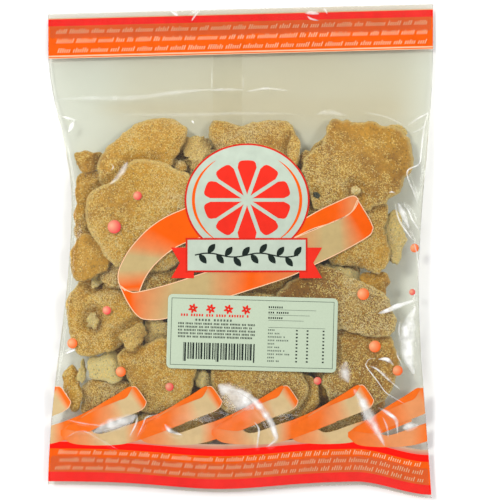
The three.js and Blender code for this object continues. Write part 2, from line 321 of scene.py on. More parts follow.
# From the topmost piece down.
UPPER_PEEL = (
    # upper left, large and smooth
    Peel((-42.5, 12), (27, 30, 27, 25.8, 20, 22.8, 21.5, 18.6, 20.2, 20.5, 23, 26), 2.5, 0,
         sugar=0.62, tone=1, snow=(0.3, -0.2)),
    # upper right, ragged along the top
    Peel((47.2, 24.9), (1.4, 1.2, 1.5, 1.2, 1.3, 1.5, 1.2, 1.4), 0.5, 0.1, sugar=0.8,
         pith=0.7, torn=0.1),
    Peel((47.7, 36.9), (23.5, 23.5, 18.5, 16.5, 20, 15.5, 22, 23.5, 25, 22, 20.5, 22.5), 2.5, 0.4,
         sugar=0.36, tone=0.6, torn=0.07, snow=(-0.4, -0.2),
         dimples=((-16.4, -13.8, 3, 1.8), (9.5, -16.5, 3, 1.2))),
    Peel((64, 49.2), (5, 4, 3.4, 3, 3.4, 5, 5.2, 5.4, 4, 4.4, 4.4, 4.4), 0.6, 0.6, sugar=0.7,
         tone=1, pith=0.6, torn=0.06),
    # right, crusted with sugar
    Peel((41.5, -21.4), (21, 14, 12, 12.5, 18.5, 22, 27, 24.5, 14.5, 11.5, 15, 24.5), 2, 0.8,
         sugar=0.55, tone=0, torn=0.06, snow=(0.55, -0.2),
         dimples=((7, -6, 4.5, 1.8), (-6, 3, 4, 1.2), (-13, -5, 3, 1.2))),
    # right, over the ribbon's end
    Peel((51.2, 4.2), (9.2, 10, 17.5, 10.5, 8.5, 11, 12.5, 16.5, 12, 11.5, 15, 12.8), 3, 0.8,
         sugar=0.65, tone=0.7, torn=0.08),
    # knob between two large pieces
    Peel((-44.5, -35.6), (5, 6.5, 6.5, 4.5, 4, 4.5, 6, 5.5, 5.5, 5.5, 4.5, 4.5), 2, 0.6,
         sugar=0.35, tone=0.95, pith=0.25, torn=0.1),
    Peel((-33.2, -51.3), (14.5, 16.5, 16.5, 15, 14.5, 19.5, 14.5, 13.5, 17, 16.5, 15.5, 14.5), 3, 0.6,
         sugar=0.58, tone=0.8, snow=(0.15, -0.35)),
    # left edge, from the top down
    Peel((-63.3, -3.5), (10, 9.5, 10.5, 11, 9.8, 7.8, 7.4, 8, 9.5, 9, 8, 9), 3, 1.2, sugar=0.35,
         tone=0.95, torn=0.06, dimples=((3, -2, 3, 0.9),)),
    Peel((-52.6, -10.7), (6, 5.5, 5.5, 6, 6, 6, 5.5, 5, 4.5, 4.5, 5.5, 6.5), 1.5, 1.8, sugar=0.85,
         tone=0.5, torn=0.06),
    Peel((-59.9, -12), (2.8, 2.2, 2.6, 3.4, 2.2, 3, 2.4, 2.2, 3.2, 3.4, 2.4, 3), 0.6, 1.2,
         sugar=0.5, pith=0.95, torn=0.2),
    Peel((-61.8, -29.6), (2.2, 2.4, 2.8, 2.4, 2, 2.6, 2.8, 2.2, 2.4, 2.6, 2.2, 2.6), 1.2, 1.3,
         sugar=0.7, tone=0.2, pith=0.8, torn=0.26),
    Peel((-57.1, -28), (17, 14, 14.5, 13.5, 17, 16.5, 14.5, 15.5, 17.5, 14, 13.5, 13.5), 2.5, 0.4,
         sugar=0.52, tone=0.75, snow=(-0.1, 0.25), dimples=((-4.7, -1.6, 4.5, 1.9), (6, 6, 4, 0.8))),
    # under the label
    Peel((8.3, -55.8), (19.5, 16.5, 13.5, 12.5, 15.5, 21.5, 20.5, 18.5, 15, 14, 15, 18), 3, 0.6,
         sugar=0.55, tone=0.5, snow=(0.25, -0.2)),
    Peel((49.8, -48.1), (16, 16.5, 18, 17.5, 19, 14.5, 15.5, 18, 19.5, 18, 17, 15.5), 3, 1.2,
         sugar=0.55, tone=0.35, torn=0.05, snow=(-0.5, 0.1),
         dimples=((-9, 5, 4, 1.5), (-5.1, -1.3, 2.5, -1), (4, -7, 3.5, 1))),
    # top edge, from the left
    Peel((-40.9, 41.1), (15.3, 21, 16, 13, 11.2, 11.7, 16, 20.7, 22, 15, 14, 13.5), 4.5, 1.6,
         sugar=0.54, tone=0.9, snow=(0.2, 0.1)),
    Peel((22, 40.9), (2.5, 3, 5, 7, 4, 2.7, 2.5, 3, 5, 7, 4.5, 3), 1.2, 1.2, sugar=0.65,
         tone=0.7, torn=0.04),
    Peel((4.8, 42.7), (17, 19, 13, 10.5, 10.5, 20.4, 15, 12.5, 14, 14, 14.5, 17), 4, 2,
         sugar=0.85, tone=0.55, torn=0.04, snow=(0.2, 0)),
    Peel((-16.5, 40.2), (7.5, 6, 6, 7.6, 7, 8, 8, 6, 7, 8.5, 8, 8.5), 1.5, 1.4, sugar=0.75, tone=0.35,
         pith=0.35, torn=0.24, dimples=((-0.8, 4.6, 1.7, 1.8), (2.5, -1.5, 1.5, 1.5), (-3, 0, 1.5, 1.4),
                                        (3.4, 2.6, 1.2, 1.2), (-1.6, -4.2, 1.4, 1.3))),
    Peel((-25.7, 35.7), (3.2, 2.6, 2.4, 2.6, 3, 4, 3.6, 2.8, 3, 3, 4, 4.5), 1, 2, sugar=0.8,
         tone=0.45, torn=0.12),
    Peel((-63.5, 37.1), (6.2, 7.2, 4.6, 3.9, 5, 6.1, 4.7, 4.4, 5.3, 5, 5, 6), 1.5, 1.6, sugar=0.5,
         tone=0.75, torn=0.08, dimples=((1.5, -0.5, 2, 1.3),)),
    Peel((-63.7, 26.8), (10, 9, 7.4, 6.4, 6, 5, 4.2, 5.5, 8, 8.5, 9, 10), 2.5, 2, sugar=0.4,
         tone=0.95),
    Peel((-66, 13.5), (6.5, 7, 8.5, 8, 5, 3.6, 2.9, 3.2, 4.6, 6, 6.5, 7), 2, 2, sugar=0.4,
         tone=0.9),
    # pale bit at the right edge
    Peel((63.8, 4.6), (5, 4.6, 6, 12.4, 9, 5.5, 5, 5, 6.5, 10, 5.7, 4.8), 1, 1, sugar=0.6,
         tone=0.8, pith=0.75, torn=0.09),
    # lower left, pith side up, and what lies under it
    Peel((-56, -48.5), (7.5, 7.5, 8, 6.5, 6, 7.5, 6.5, 7.5, 6, 6, 7, 8.5), -0.8, 1.8, sugar=0.25,
         tone=0.6, pith=1, torn=0.07),
    Peel((-65.5, -49.3), (1.6, 2, 3.5, 4.5, 2, 1.4, 1.6, 1.8, 3.5, 4.5, 2, 1.6), 0.4, 1.4, sugar=0.3,
         pith=0.85, torn=0.14),
    Peel((-69.6, -56.8), (3.6, 3.2, 5.5, 9, 7.5, 4.5, 3.5, 3.5, 4.5, 9.5, 7.5, 5), 2, 1.6, sugar=0.4,
         tone=0.95, torn=0.05),
    Peel((-55.4, -61.3), (12, 12, 10, 8.5, 10, 11.5, 10.5, 12, 11, 9, 9, 10), 2.5, 2.8, sugar=0.6,
         tone=0.35),
    # ribbed bit and pith behind the crusted piece
    Peel((56.1, -13), (5.5, 6, 5, 4.5, 5, 7.5, 7, 5.5, 4.5, 5, 7, 5), 2, 3.4, sugar=0.15,
         tone=0.75, torn=0.03),
    Peel((42.8, -9.1), (6, 3.4, 3, 3, 4, 8.5, 7, 5.5, 4.5, 5, 5.5, 8), 0.5, 2.8, sugar=0.4, pith=0.9,
         torn=0.08),
    Peel((-15, -53.1), (4, 4, 3.5, 4, 4.5, 4.5, 4, 4, 4, 4, 4, 4), -1, 1.2, sugar=0.45,
         pith=0.9, torn=0.08),
    Peel((26.1, -59.2), (6.5, 7, 7.5, 9, 11.5, 9, 8.5, 8, 10.5, 10, 8.5, 7), 2.5, 1.6, sugar=0.5,
         tone=0.85),
    Peel((-34.3, -33.5), (7, 6, 6, 5.5, 6.5, 7, 6, 6.5, 6.5, 5.5, 6.5, 7), 0.5, 2, sugar=0.5,
         tone=0.5, pith=0.5, torn=0.06),
    # behind the printing
    Peel((7, 18), (26, 22, 20, 22, 25, 22, 20, 22), 2.5, 1.6, sugar=0.7, tone=0.6),
    Peel((-22, -9), (21, 18, 15, 17, 22, 18, 15, 18), 2, 3, sugar=0.85, tone=0.3),
    Peel((2, -34), (28, 21, 17, 22, 27, 21, 17, 21), 2, 1.6, sugar=0.7, tone=0.55),
    Peel((27, 38), (3.2, 3.5, 3.6, 4, 3.5, 3, 3.5, 4, 5, 5, 4, 3.5), 1.5, 3.4, sugar=0.6,
         tone=0.45),
    Peel((-27, 33), (8, 7, 5, 6, 8, 8, 8, 8), 1, 4.2, sugar=0.7, tone=0.3, torn=0.08),
    Peel((-61, 8), (8, 8, 10, 8, 8, 8, 10, 8), 1, 3.6, sugar=0.5, tone=0.6),
    Peel((-60, -17), (8, 8, 8, 8, 8, 8, 8, 8), 1, 3.6, sugar=0.5, tone=0.5),
    # along the bottom, under the row of ribbons
    Peel((-30, -73), (15, 10, 7, 10, 15, 9, 6, 9), 0.6, 0.3, sugar=0.8, tone=0.9),
    Peel((6, -74), (17, 10, 7, 10, 17, 9, 6, 9), 0.6, 0.3, sugar=0.8, tone=0.8),
    Peel((37, -72), (14, 10, 8, 10, 15, 9, 7, 9), 0.6, 0.3, sugar=0.7, tone=0.8),
    Peel((47, -60), (12.5, 8, 13, 9, 8, 9, 11, 13), 2.5, 3.4, sugar=0.55, tone=0.65),
    Peel((50, -32), (7, 8, 11, 9, 9, 9, 12, 8), 2.5, 3.4, sugar=0.6, tone=0.6),
)


def spare_layer(left, high, columns, rows, reach, drop):
    """Even rows of plain pieces for the inside of the bag."""
    return tuple(
        Peel((left + 27.0 * column + 5.0 * (row % 2), high - 24.5 * row),
             tuple(reach - 3.0 * ((5 * column + 3 * row + k) % 3 == 0) for k in range(8)),
             1.5, drop, tone=0.35 + 0.2 * ((column + row) % 3), sugar=0.5,
             pith=0.4 * ((column + 2 * row) % 5 == 0), torn=0.05, step=0.9)
        for row in range(rows) for column in range(columns))


MIDDLE_PEEL = spare_layer(-44.0, 32.0, 4, 5, 15.5, 4.0)
# The layer that lies on the back film.
LOWER_PEEL = spare_layer(-43.0, 32.0, 4, 5, 15.0, 0.0)

LAYER_GAP = 0.2  # space kept between two pieces of peel
UNDER_FILM = 0.9  # space kept under the front of the filled bag


def edge_distance(peel, angle, seed):
    """Distance from a piece's middle to its edge: a periodic cubic through the reaches, times
    1 + 0.25 torn * (a sum of cosines that turn 5, 9, 14, 23 and 37 times, each weaker), plus
    noise 3 mm and 1 mm wide."""
    reach = np.array(peel.reach, float)
    turn = np.mod(angle, 2 * math.pi) / (2 * math.pi) * reach.size
    i = turn.astype(int) % reach.size
    f = turn - np.floor(turn)
    a, b, c, d = (reach[(i + step) % reach.size] for step in (-1, 0, 1, 2))
    even = 0.5 * (2 * b + (c - a) * f + (2 * a - 5 * b + 4 * c - d) * f**2
                  + (3 * b - a - 3 * c + d) * f**3)
    phases = np.random.default_rng(seed).uniform(0, 2 * math.pi, 5)
    ripple = sum(math.sqrt(5 / turns) * np.cos(turns * angle + phase)
                 for turns, phase in zip((5, 9, 14, 23, 37), phases))
    x, y = even * np.cos(angle), even * np.sin(angle)
    ragged = (0.35 + 6 * peel.torn) * noise(x, y, 3.1, seed + 8)
    frayed = (0.1 + 2.5 * peel.torn) * noise(x, y, 1.15, seed + 9)
    return np.maximum(even * (1 + 0.25 * peel.torn * ripple) + ragged + frayed, 0.3 * even)


def relief(peel, x, y, seed):
    """Waves of the skin: noise 9 mm and 3.8 mm wide, deeper on torn pieces, and the dimples."""
    rough = 0.9 + 5 * peel.torn
    waves = 0.8 * rough * noise(x, y, 9.0, seed) + 0.42 * rough * noise(x, y, 3.8, seed + 1)
    for dx, dy, radius, depth in peel.dimples:
        away = np.hypot(x - peel.at[0] - dx, y - peel.at[1] - dy) / radius
        waves = waves - depth * np.exp(-(away**2)) + 0.35 * depth * np.exp(-((away - 1.4) ** 2) * 6)
    return waves


def grain(peel, x, y, seed):
    """Sugar crust and pores: noise 1.6 mm and 0.75 mm wide, as deep as the piece is sugared,
    and deeper where it is torn to crumbs."""
    crust = 0.1 + 0.17 * peel.sugar + 0.15 * peel.pith + 2.5 * max(peel.torn - 0.1, 0)
    return crust * (0.6 * noise(x, y, 1.6, seed + 2) + 0.75 * noise(x, y, 0.75, seed + 3))


def bullnose(inwards, thickness):
    """Thickness near an edge: a half round, full at 0.55 of the thickness inwards from it."""
    t = np.clip(inwards / (0.55 * thickness), 0, 1)
    return thickness * np.sqrt(np.clip(1 - (1 - t) ** 2, 0, 1))


class LaidPeel(NamedTuple):
    peel: Peel
    seed: int
    ceiling: np.ndarray  # plan grid that its top stays under
    level: float  # height of its middle before the ceiling presses on it
    slope: tuple
    from_below: bool


def peel_top(laid, x, y, share):
    """Top of a piece where share is the distance from its middle as a share of the way to its
    edge: level + slope - dome * share^2 + relief, pressed down under the ceiling."""
    peel = laid.peel
    free = laid.level + laid.slope[0] * (x - peel.at[0]) + laid.slope[1] * (y - peel.at[1])
    free = free - peel.dome * share**2 + relief(peel, x, y, laid.seed)
    if laid.from_below:
        return np.maximum(free, sample(laid.ceiling, x, y))
    return soft_min(free, sample(laid.ceiling, x, y), 1.2)


@functools.cache
def bag_room():
    """Plan grids of what is inside the outline, of the front without lumps and of the back."""
    u, v = film_point(PLAN_X, PLAN_Y)
    inside = (u >= 0) & (u <= 1) & (v >= 0) & (v <= 1)
    held_u, held_v = np.clip(u, 0, 1), np.clip(v, 0, 1)
    return inside, room_height(held_u, held_v), back_height(held_u, held_v)


@functools.cache
def lay_filling(thickness):
    """Places every piece of peel. An upper piece hangs under the film and under the pieces
    before it: its ceiling is the lowest underside within 2 mm, smoothed over 1.5 mm. Returns
    the placed pieces and the plan grid of the filling's top."""
    _, room, back = bag_room()
    ceiling = room - UNDER_FILM
    top = back.copy()
    placed = []
    for number, peel in enumerate(UPPER_PEEL + MIDDLE_PEEL):
        seed = 100 + 10 * number
        x0, y0 = np.array(peel.at, float)
        step = 4.0  # half of the span that the slope is taken over
        rise_x = sample(room, x0 + step, y0) - sample(room, x0 - step, y0)
        rise_y = sample(room, x0, y0 + step) - sample(room, x0, y0 - step)
        slope = (0.8 * float(rise_x / (2 * step)), 0.8 * float(rise_y / (2 * step)))
        pressed = spread(spread(ceiling, 4, lowest), 3, mean)
        level = float(sample(room, x0, y0)) - UNDER_FILM - peel.drop + 0.3 * max(peel.dome, 0)
        laid = LaidPeel(peel, seed, pressed, level, slope, False)
        placed.append(laid)
        dx, dy = PLAN_X - peel.at[0], PLAN_Y - peel.at[1]
        edge = edge_distance(peel, np.arctan2(dy, dx), seed)
        share = np.hypot(dx, dy) / edge
        covered = share < 1
        height = peel_top(laid, PLAN_X, PLAN_Y, np.minimum(share, 1))
        under = height - thickness - LAYER_GAP
        ceiling = np.where(covered, np.minimum(ceiling, under), ceiling)
        top = np.where(covered, np.maximum(top, height), top)
    floor = spread(spread(back, 2, highest), 2, mean) + 0.5 + thickness
    for number, peel in enumerate(LOWER_PEEL):
        placed.append(LaidPeel(peel, 1900 + 10 * number, floor, 4.6, (0.0, 0.0), True))
    return placed, top


def sugar_share(laid, x, y):
    """How much sugar lies at a place: the piece's own share, more towards its snowy side, in
    patches of noise 15 mm and 5 mm wide."""
    peel = laid.peel
    side = (peel.snow[0] * (x - peel.at[0]) + peel.snow[1] * (y - peel.at[1])) / 20
    patch = 0.4 * noise(x, y, 15.0, laid.seed + 5) + 0.24 * noise(x, y, 5.0, laid.seed + 6)
    return np.clip(peel.sugar + side + patch * (0.4 + peel.sugar), 0.03, 1)


def disc_grid(count):
    """Square grid on -1..1 turned into a disc: X = a sqrt(1 - b^2/2), Y = b sqrt(1 - a^2/2)."""
    line = np.linspace(-1, 1, count)
    a, b = np.meshgrid(line, line)
    return a * np.sqrt(1 - b * b / 2), b * np.sqrt(1 - a * a / 2)


def grid_faces(rows, columns):
    """Quads of a grid of points stored row by row, facing +Z when X grows along a row."""
    corner = (np.arange(rows - 1)[:, None] * columns + np.arange(columns - 1)).ravel()
    return np.stack([corner, corner + 1, corner + columns + 1, corner + columns], axis=1)


def peel_shell(laid, thickness):
    """A piece of peel as a closed shell: a top and an underside on the same disc grid, which
    share the points of the rim. Returns points, faces, each point's share of the way to the
    rim, and how many points are on top."""
    peel = laid.peel
    count = int(np.clip(2 * np.mean(peel.reach) / peel.step, 24, 170)) // 2 * 2 + 1
    disc_x, disc_y = disc_grid(count)
    share = np.hypot(disc_x, disc_y)
    angle = np.arctan2(disc_y, disc_x)
    edge = edge_distance(peel, angle, laid.seed)
    x, y = peel.at[0] + edge * disc_x, peel.at[1] + edge * disc_y
    middle = peel_top(laid, x, y, share)
    wall = bullnose(edge * (1 - share), thickness * (0.8 + 0.2 * noise(x, y, 6.0, laid.seed + 4)))
    drop = 0.5 * (thickness - wall)
    floor = sample(bag_room()[2], x, y) + 0.2
    under = np.maximum(middle - drop - wall, floor)
    top = middle - drop + grain(peel, x, y, laid.seed) * smooth(wall, 0, 1.2)
    top = np.maximum(top, under + 0.5 * smooth(wall, 0, 1.2))
    rim = np.zeros(share.shape, bool)
    rim[0], rim[-1], rim[:, 0], rim[:, -1] = True, True, True, True
    top_index = np.arange(rim.size)
    under_index = np.where(rim.ravel(), top_index, rim.size + np.cumsum(~rim.ravel()) - 1)
    points = np.stack([x, y, top], axis=-1).reshape(-1, 3)
    lower = np.stack([x, y, under], axis=-1).reshape(-1, 3)[~rim.ravel()]
    faces = grid_faces(count, count)
    return (np.vstack([points, lower]), np.vstack([faces, under_index[faces][:, ::-1]]),
            np.concatenate([share.ravel(), share.ravel()[~rim.ravel()]]), rim.size)


# ---------------------------------------------------------------------------------------------
# The film
# ---------------------------------------------------------------------------------------------

class Crease(NamedTuple):
    """A fold of the film along a curve through points: a flat-sided ridge, and a white strip on it that
    is painted glare, in place of the lamps mirrored in the fold. width is its greatest width,
    haze_and_painted_glare how white the painted glare is, height the height of its ridge, and soft how
    gently the glare fades to its sides."""
    points: tuple
    width: float
    haze_and_painted_glare: float = 0.7
    height: float = 0.6
    soft: float = 0.3


# The white strip of each crease is painted glare, standing in for the lamps mirrored in its fold;
# creases with no height are painted glare only.
CREASES = (
    # top right corner and the right side, from the top down
    Crease(((69.3, 52), (74, 55.2), (78.6, 57.5)), 1.6, 0.5, 0.9, 0.8),
    Crease(((70.5, 48.6), (75, 50.8), (77.4, 54)), 1, 0.4, 0.7, 0.8),
    Crease(((77.4, 57), (76.3, 52.5), (75.3, 45.9), (74.6, 39.4), (73.8, 35.9), (69.8, 33.9),
            (68.8, 31.9), (69.8, 28.3), (71.8, 23.8), (74.3, 16.8)), 0.75, 0.8, 1),
    Crease(((61.3, 24.1), (62.5, 24.4), (63.9, 24)), 0.9, 0.8, 0.2),
    Crease(((63.8, 20.8), (64.3, 16.8), (65.8, 12.2), (68.8, 7.7), (71.3, 4.4)), 0.9, 0.85, 0.9),
    Crease(((65, 20), (66.5, 16.8), (67.8, 13.7), (69.8, 9.2)), 3.4, 0.9, 0.8, 0.5),
    Crease(((66.3, 20.3), (69.3, 16.8), (70.8, 13.2), (72.8, 10.2), (74.3, 8.7)), 0.9, 0.8, 0.7),
    Crease(((71.4, 4.6), (73.3, -3), (73.6, -9.4), (73.6, -17.6)), 0.8, 0.6, 0.8),
    Crease(((56.7, -25.8), (61, -24.4), (65, -22.7), (73.9, -19.9)), 2.3, 0.9, 1, 0.15),
    Crease(((72.6, -22.7), (70.1, -28.4), (69.1, -34.1), (68.8, -39.9), (69.8, -45.6), (72, -51.3)),
           7, 1, 1.3, 0.35),
    Crease(((66, -29), (65.4, -33), (66.4, -37.5)), 1, 0.6, 0.4),
    # fan at the lower right
    Crease(((56.1, -44.3), (53.2, -44.6), (51.9, -46.2), (52, -47.8), (56.1, -53.2), (59.9, -58.3),
            (63.7, -60.8), (68.2, -63.4)), 0.6, 0.85, 0.9),
    Crease(((52.9, -47.2), (56.7, -49.1), (61.2, -53.2), (66.3, -57.6)), 1.1, 0.8, 0.9),
    Crease(((56.7, -44.6), (60.4, -44.8), (63.4, -47.2)), 1.7, 0.85, 0.7, 0.2),
    Crease(((64.4, -41.1), (65, -43.7), (67.5, -48.1)), 0.7, 0.6, 0.5),
    Crease(((56.7, -64.6), (61.2, -67.2), (64.4, -70.3), (65, -76.1)), 2, 0.8, 1, 0.3),
    Crease(((58.7, -68.4), (60.6, -72.9), (61.2, -77.3)), 1, 0.6, 0.6),
    Crease(((67, -73.4), (69.8, -72.9), (73.8, -72.1)), 4, 0.7, 0.8, 0.3),
    Crease(((46.6, -57), (49.1, -60.2), (51.7, -65.3), (53.6, -69.1), (56.7, -74.8), (59.9, -81.1)),
           6.4, 0.8, 1.2, 0.7),
    Crease(((50.8, -65.6), (52.2, -68.2), (53.6, -70.8)), 3.2, 0.6, 0, 0.9),
    # painted glare by the small pink ball, with no ridge
    Crease(((43.6, -45.2), (42.9, -49.6), (44.6, -54.6)), 7.5, 0.55, 0, 1),
    # arch over the bottom seal
    Crease(((-9.5, -55), (-3.8, -58.6), (1.2, -61.8), (5.6, -65.4)), 11, 0.95, 0.9, 0.5),
    Crease(((-5.6, -56.8), (-0.4, -57.8), (4.6, -60.6), (8.8, -65.3), (11.8, -69.7), (13.9, -74.7),
            (14.4, -78.1), (10.6, -81.4)), 3.6, 0.95, 1.4, 0.35),
    Crease(((5.6, -70.4), (7.5, -73.6), (7.2, -78.1), (6.7, -82)), 1.1, 0.7, 0.8),
    # lower left
    Crease(((-61.5, -75.6), (-54.3, -72.2), (-48.8, -70.4), (-42.4, -67.8)), 6, 0.8, 1.1, 0.3),
    Crease(((-42.6, -67.6), (-43.2, -71.3), (-46, -76.9)), 1, 0.7, 0.8),
    Crease(((-33, -67.4), (-38.7, -68.6), (-40.4, -71.9), (-43, -77.2)), 0.8, 0.65, 0.8),
    Crease(((-31.5, -71.5), (-28.9, -74.5), (-24, -76.2)), 2.6, 0.75, 0.9, 0.6),
    Crease(((-74.5, -69.3), (-65, -71.4), (-56, -72.4)), 0.8, 0.35, 0.7),
    Crease(((-73, -77.5), (-65.5, -74.6), (-57.5, -78.5), (-50.5, -82.5)), 1.2, 0.3, 1, 0.8),
    Crease(((-72.4, -42.5), (-70, -41.4), (-68, -40.7)), 0.9, 0.9, 0.5, 0.15),
    # upper left
    Crease(((-74.3, 56), (-71.4, 55), (-68, 54.3)), 1.2, 0.75, 0.7, 0.2),
    Crease(((-68.9, 54.8), (-69.9, 52), (-71.6, 48.9)), 2.2, 0.75, 0.7, 0.2),
    Crease(((-46.6, 37), (-48.3, 33.9), (-51, 30.2), (-54.2, 27.3)), 2.9, 0.6, 0.5, 0.4),
    Crease(((-53.6, 36.4), (-52.6, 34.8), (-53.4, 33.2)), 0.7, 0.6, 0.2),
    Crease(((-20.3, 54), (-19.8, 53.5), (-19.3, 52.7)), 0.9, 0.9, 0.2),
    # painted glare along the back seam, seen through the header, with no ridge
    Crease(((-11.9, 77), (-11.9, 71), (-11.9, 66)), 0.6, 0.3, 0, 0.6),
    Crease(((1, 73.4), (1, 70), (1, 66)), 0.6, 0.3, 0, 0.6),
    Crease(((-12.6, 66.6), (-6, 67), (1.6, 66.8)), 2, 0.5, 0, 0.9),
    # header
    Crease(((-77, 63), (-63, 63.4), (-44, 63.6), (-26, 65.8), (-9, 67.4)), 3.4, 0.3, 0.4, 0.9),
    Crease(((-52, 56.6), (-25, 56.4), (5, 57), (28, 56.4)), 2.4, 0.16, 0.3, 0.9),
    Crease(((31, 56.5), (36.5, 57.4), (44.5, 56)), 3.2, 0.25, 0.5, 0.9),
    Crease(((2, 66), (11, 67.4), (20, 66.4)), 1.8, 0.4, 0.4, 0.9),
    Crease(((50, 57.6), (60, 55.6), (69, 51.5)), 1.2, 0.25, 0.6, 0.9),
    # top seal
    Crease(((-29.2, 99.6), (-27.6, 98.7), (-25.9, 97.6)), 1.6, 0.8, 0, 0.2),
    Crease(((-21.4, 98), (-19, 99.2), (-16.4, 100.6)), 1.5, 0.7, 0, 0.2),
    Crease(((-16.6, 100.4), (-18.8, 97.9), (-20.4, 95.4)), 1, 0.7, 0, 0.2),
    Crease(((26.5, 98.6), (29.4, 99), (32.8, 98.4)), 1.8, 0.75, 0, 0.2),
    Crease(((27.6, 97.6), (29.2, 96.4), (32.6, 95.6)), 1, 0.6, 0, 0.2),
    Crease(((34.4, 100.9), (35.3, 99.8), (36, 98.4)), 1.1, 0.75, 0, 0.2),
)


def ridge(x, y, crease):
    """height * sin(pi t)^0.6 * (1 - d / reach), with d the distance to the curve, rounded within
    0.3 mm, t the share of its length where it is nearest, and reach half the width or 0.9 mm."""
    reach = max(0.5 * crease.width, 0.9)
    line = curve(crease.points, 6 * len(crease.points))
    low, high = line.min(0) - reach, line.max(0) + reach
    near = (x > low[0]) & (x < high[0]) & (y > low[1]) & (y < high[1])
    px, py = x[near], y[near]
    best = np.full(px.shape, 1e9)
    share = np.zeros(px.shape)
    for number, (start, end) in enumerate(zip(line[:-1], line[1:])):
        along = end - start
        t = np.clip(((px - start[0]) * along[0] + (py - start[1]) * along[1]) / (along @ along), 0, 1)
        away = np.hypot(px - start[0] - t * along[0], py - start[1] - t * along[1])
        share = np.where(away < best, (number + t) / (len(line) - 1), share)
        best = np.minimum(away, best)
    raised = np.zeros(x.shape)
    flank = np.clip(1 - (np.sqrt(best**2 + 0.09) - 0.3) / reach, 0, 1)
    raised[near] = crease.height * np.sin(math.pi * share) ** 0.6 * flank
    return raised


def seal_pleats():
    """Pleats that run into the film from both seals: ridges of random length and lean."""
    rng = np.random.default_rng(7)
    pleats = []
    for start_y, end_step, count, low, high in ((-86.0, 1, 17, 7.0, 20.0), (80.0, -1, 13, 6.0, 17.0)):
        for x in np.linspace(-70, 70, count) + rng.uniform(-3.5, 3.5, count):
            reach = rng.uniform(low, high)
            lean = rng.uniform(-0.3, 0.3) * reach
            middle = (x + 0.5 * lean + rng.uniform(-0.8, 0.8), start_y + end_step * reach * 0.5)
            points = ((x, start_y), middle, (x + lean, start_y + end_step * reach))
            pleats.append(Crease(points, rng.uniform(2.0, 3.6), 0.0, rng.uniform(0.2, 0.55)))
    return pleats


def label_place(x, y):
    """Coordinates across and up the label, whose sides are turned by LABEL_TURN."""
    dx, dy = x - LABEL_CENTRE[0], y - LABEL_CENTRE[1]
    cos, sin = math.cos(LABEL_TURN), math.sin(LABEL_TURN)
    return dx * cos + dy * sin, dy * cos - dx * sin


SEALED_BELOW, SEALED_ABOVE = 0.062, 0.945  # shares of the height that the two seals end at
STIFF_ACROSS, STIFF_UP = 36.0, 16.5  # half sizes of the film that the label keeps even


@functools.cache
def drape(thickness, gap):
    """Plan grids of the front film's height and of the label's. The film is a taut skin: each
    point takes the mean of its four neighbours unless the peel under it is higher. The label is
    stiffer, so under it the film lies on the quadratic surface that fits it best, lifted by 0.6
    of what the peel stands over it. Then the folds are raised."""
    inside, room, back = bag_room()
    _, top = lay_filling(thickness)
    obstacle = np.where(inside, np.maximum(top, back) + gap, room)
    _, v = film_point(PLAN_X, PLAN_Y)
    sealed = ~inside | (v > SEALED_ABOVE) | (v < SEALED_BELOW)

    def settle(height, obstacle, rounds):
        for _ in range(rounds):
            around = 0.25 * (np.roll(height, 1, 0) + np.roll(height, -1, 0)
                             + np.roll(height, 1, 1) + np.roll(height, -1, 1))
            height = np.where(sealed, height, np.maximum(around, obstacle))
        return height

    film = settle(room, obstacle, rounds=500)
    across, up = label_place(PLAN_X, PLAN_Y)
    under_label = (np.abs(across) < STIFF_ACROSS) & (np.abs(up) < STIFF_UP)
    terms = np.stack([np.ones_like(across), across, up, across**2, up**2, across * up], axis=-1)
    fit, *_ = np.linalg.lstsq(terms[under_label], film[under_label], rcond=None)
    plate = terms @ fit
    plate = plate + max(0.0, float((obstacle - plate)[under_label].max()) * 0.6)
    obstacle = np.where(under_label, plate, obstacle)
    film = np.where(under_label, plate, film)
    film = settle(film, obstacle, rounds=220)
    folds = sum(ridge(PLAN_X, PLAN_Y, crease) for crease in (*CREASES, *seal_pleats()))
    beside = np.maximum(smooth(np.abs(across), 35, 40), smooth(np.abs(up), 15.5, 20))
    ripple = 0.12 * noise(PLAN_X, PLAN_Y, 7.0, 31) + 0.05 * noise(PLAN_X, PLAN_Y, 2.6, 32)
    film = film + (folds + ripple) * beside * ~sealed
    film = np.where(sealed, film, np.maximum(film, obstacle - 0.1))
    return spread(film, 1, mean)


def oil_share(x, y):
    """How oily the film is: wide soft patches over the header, with a band above the peel."""
    patch = smooth(x, -62, -30) * (1 - smooth(x, 60, 84)) * smooth(y, 42, 55)
    band = np.exp(-(((y - 59.5) / 3.0) ** 2)) * smooth(x, -66, -50) * (1 - smooth(x, 58, 70))
    return np.clip(patch * (0.62 + 0.3 * noise(x, y, 30.0, 51)) + 0.45 * band, 0, 1)


def on_film(context, x, y, lift):
    """Points over the front film at places x and y, that far over its surface."""
    settings = context.scene
    front = drape(settings.peel_bag_peel.thickness / MM, settings.peel_bag_film.gap / MM)
    return np.stack([x, y, sample(front, x, y) + lift], axis=-1)


# ---------------------------------------------------------------------------------------------
# Meshes
# ---------------------------------------------------------------------------------------------

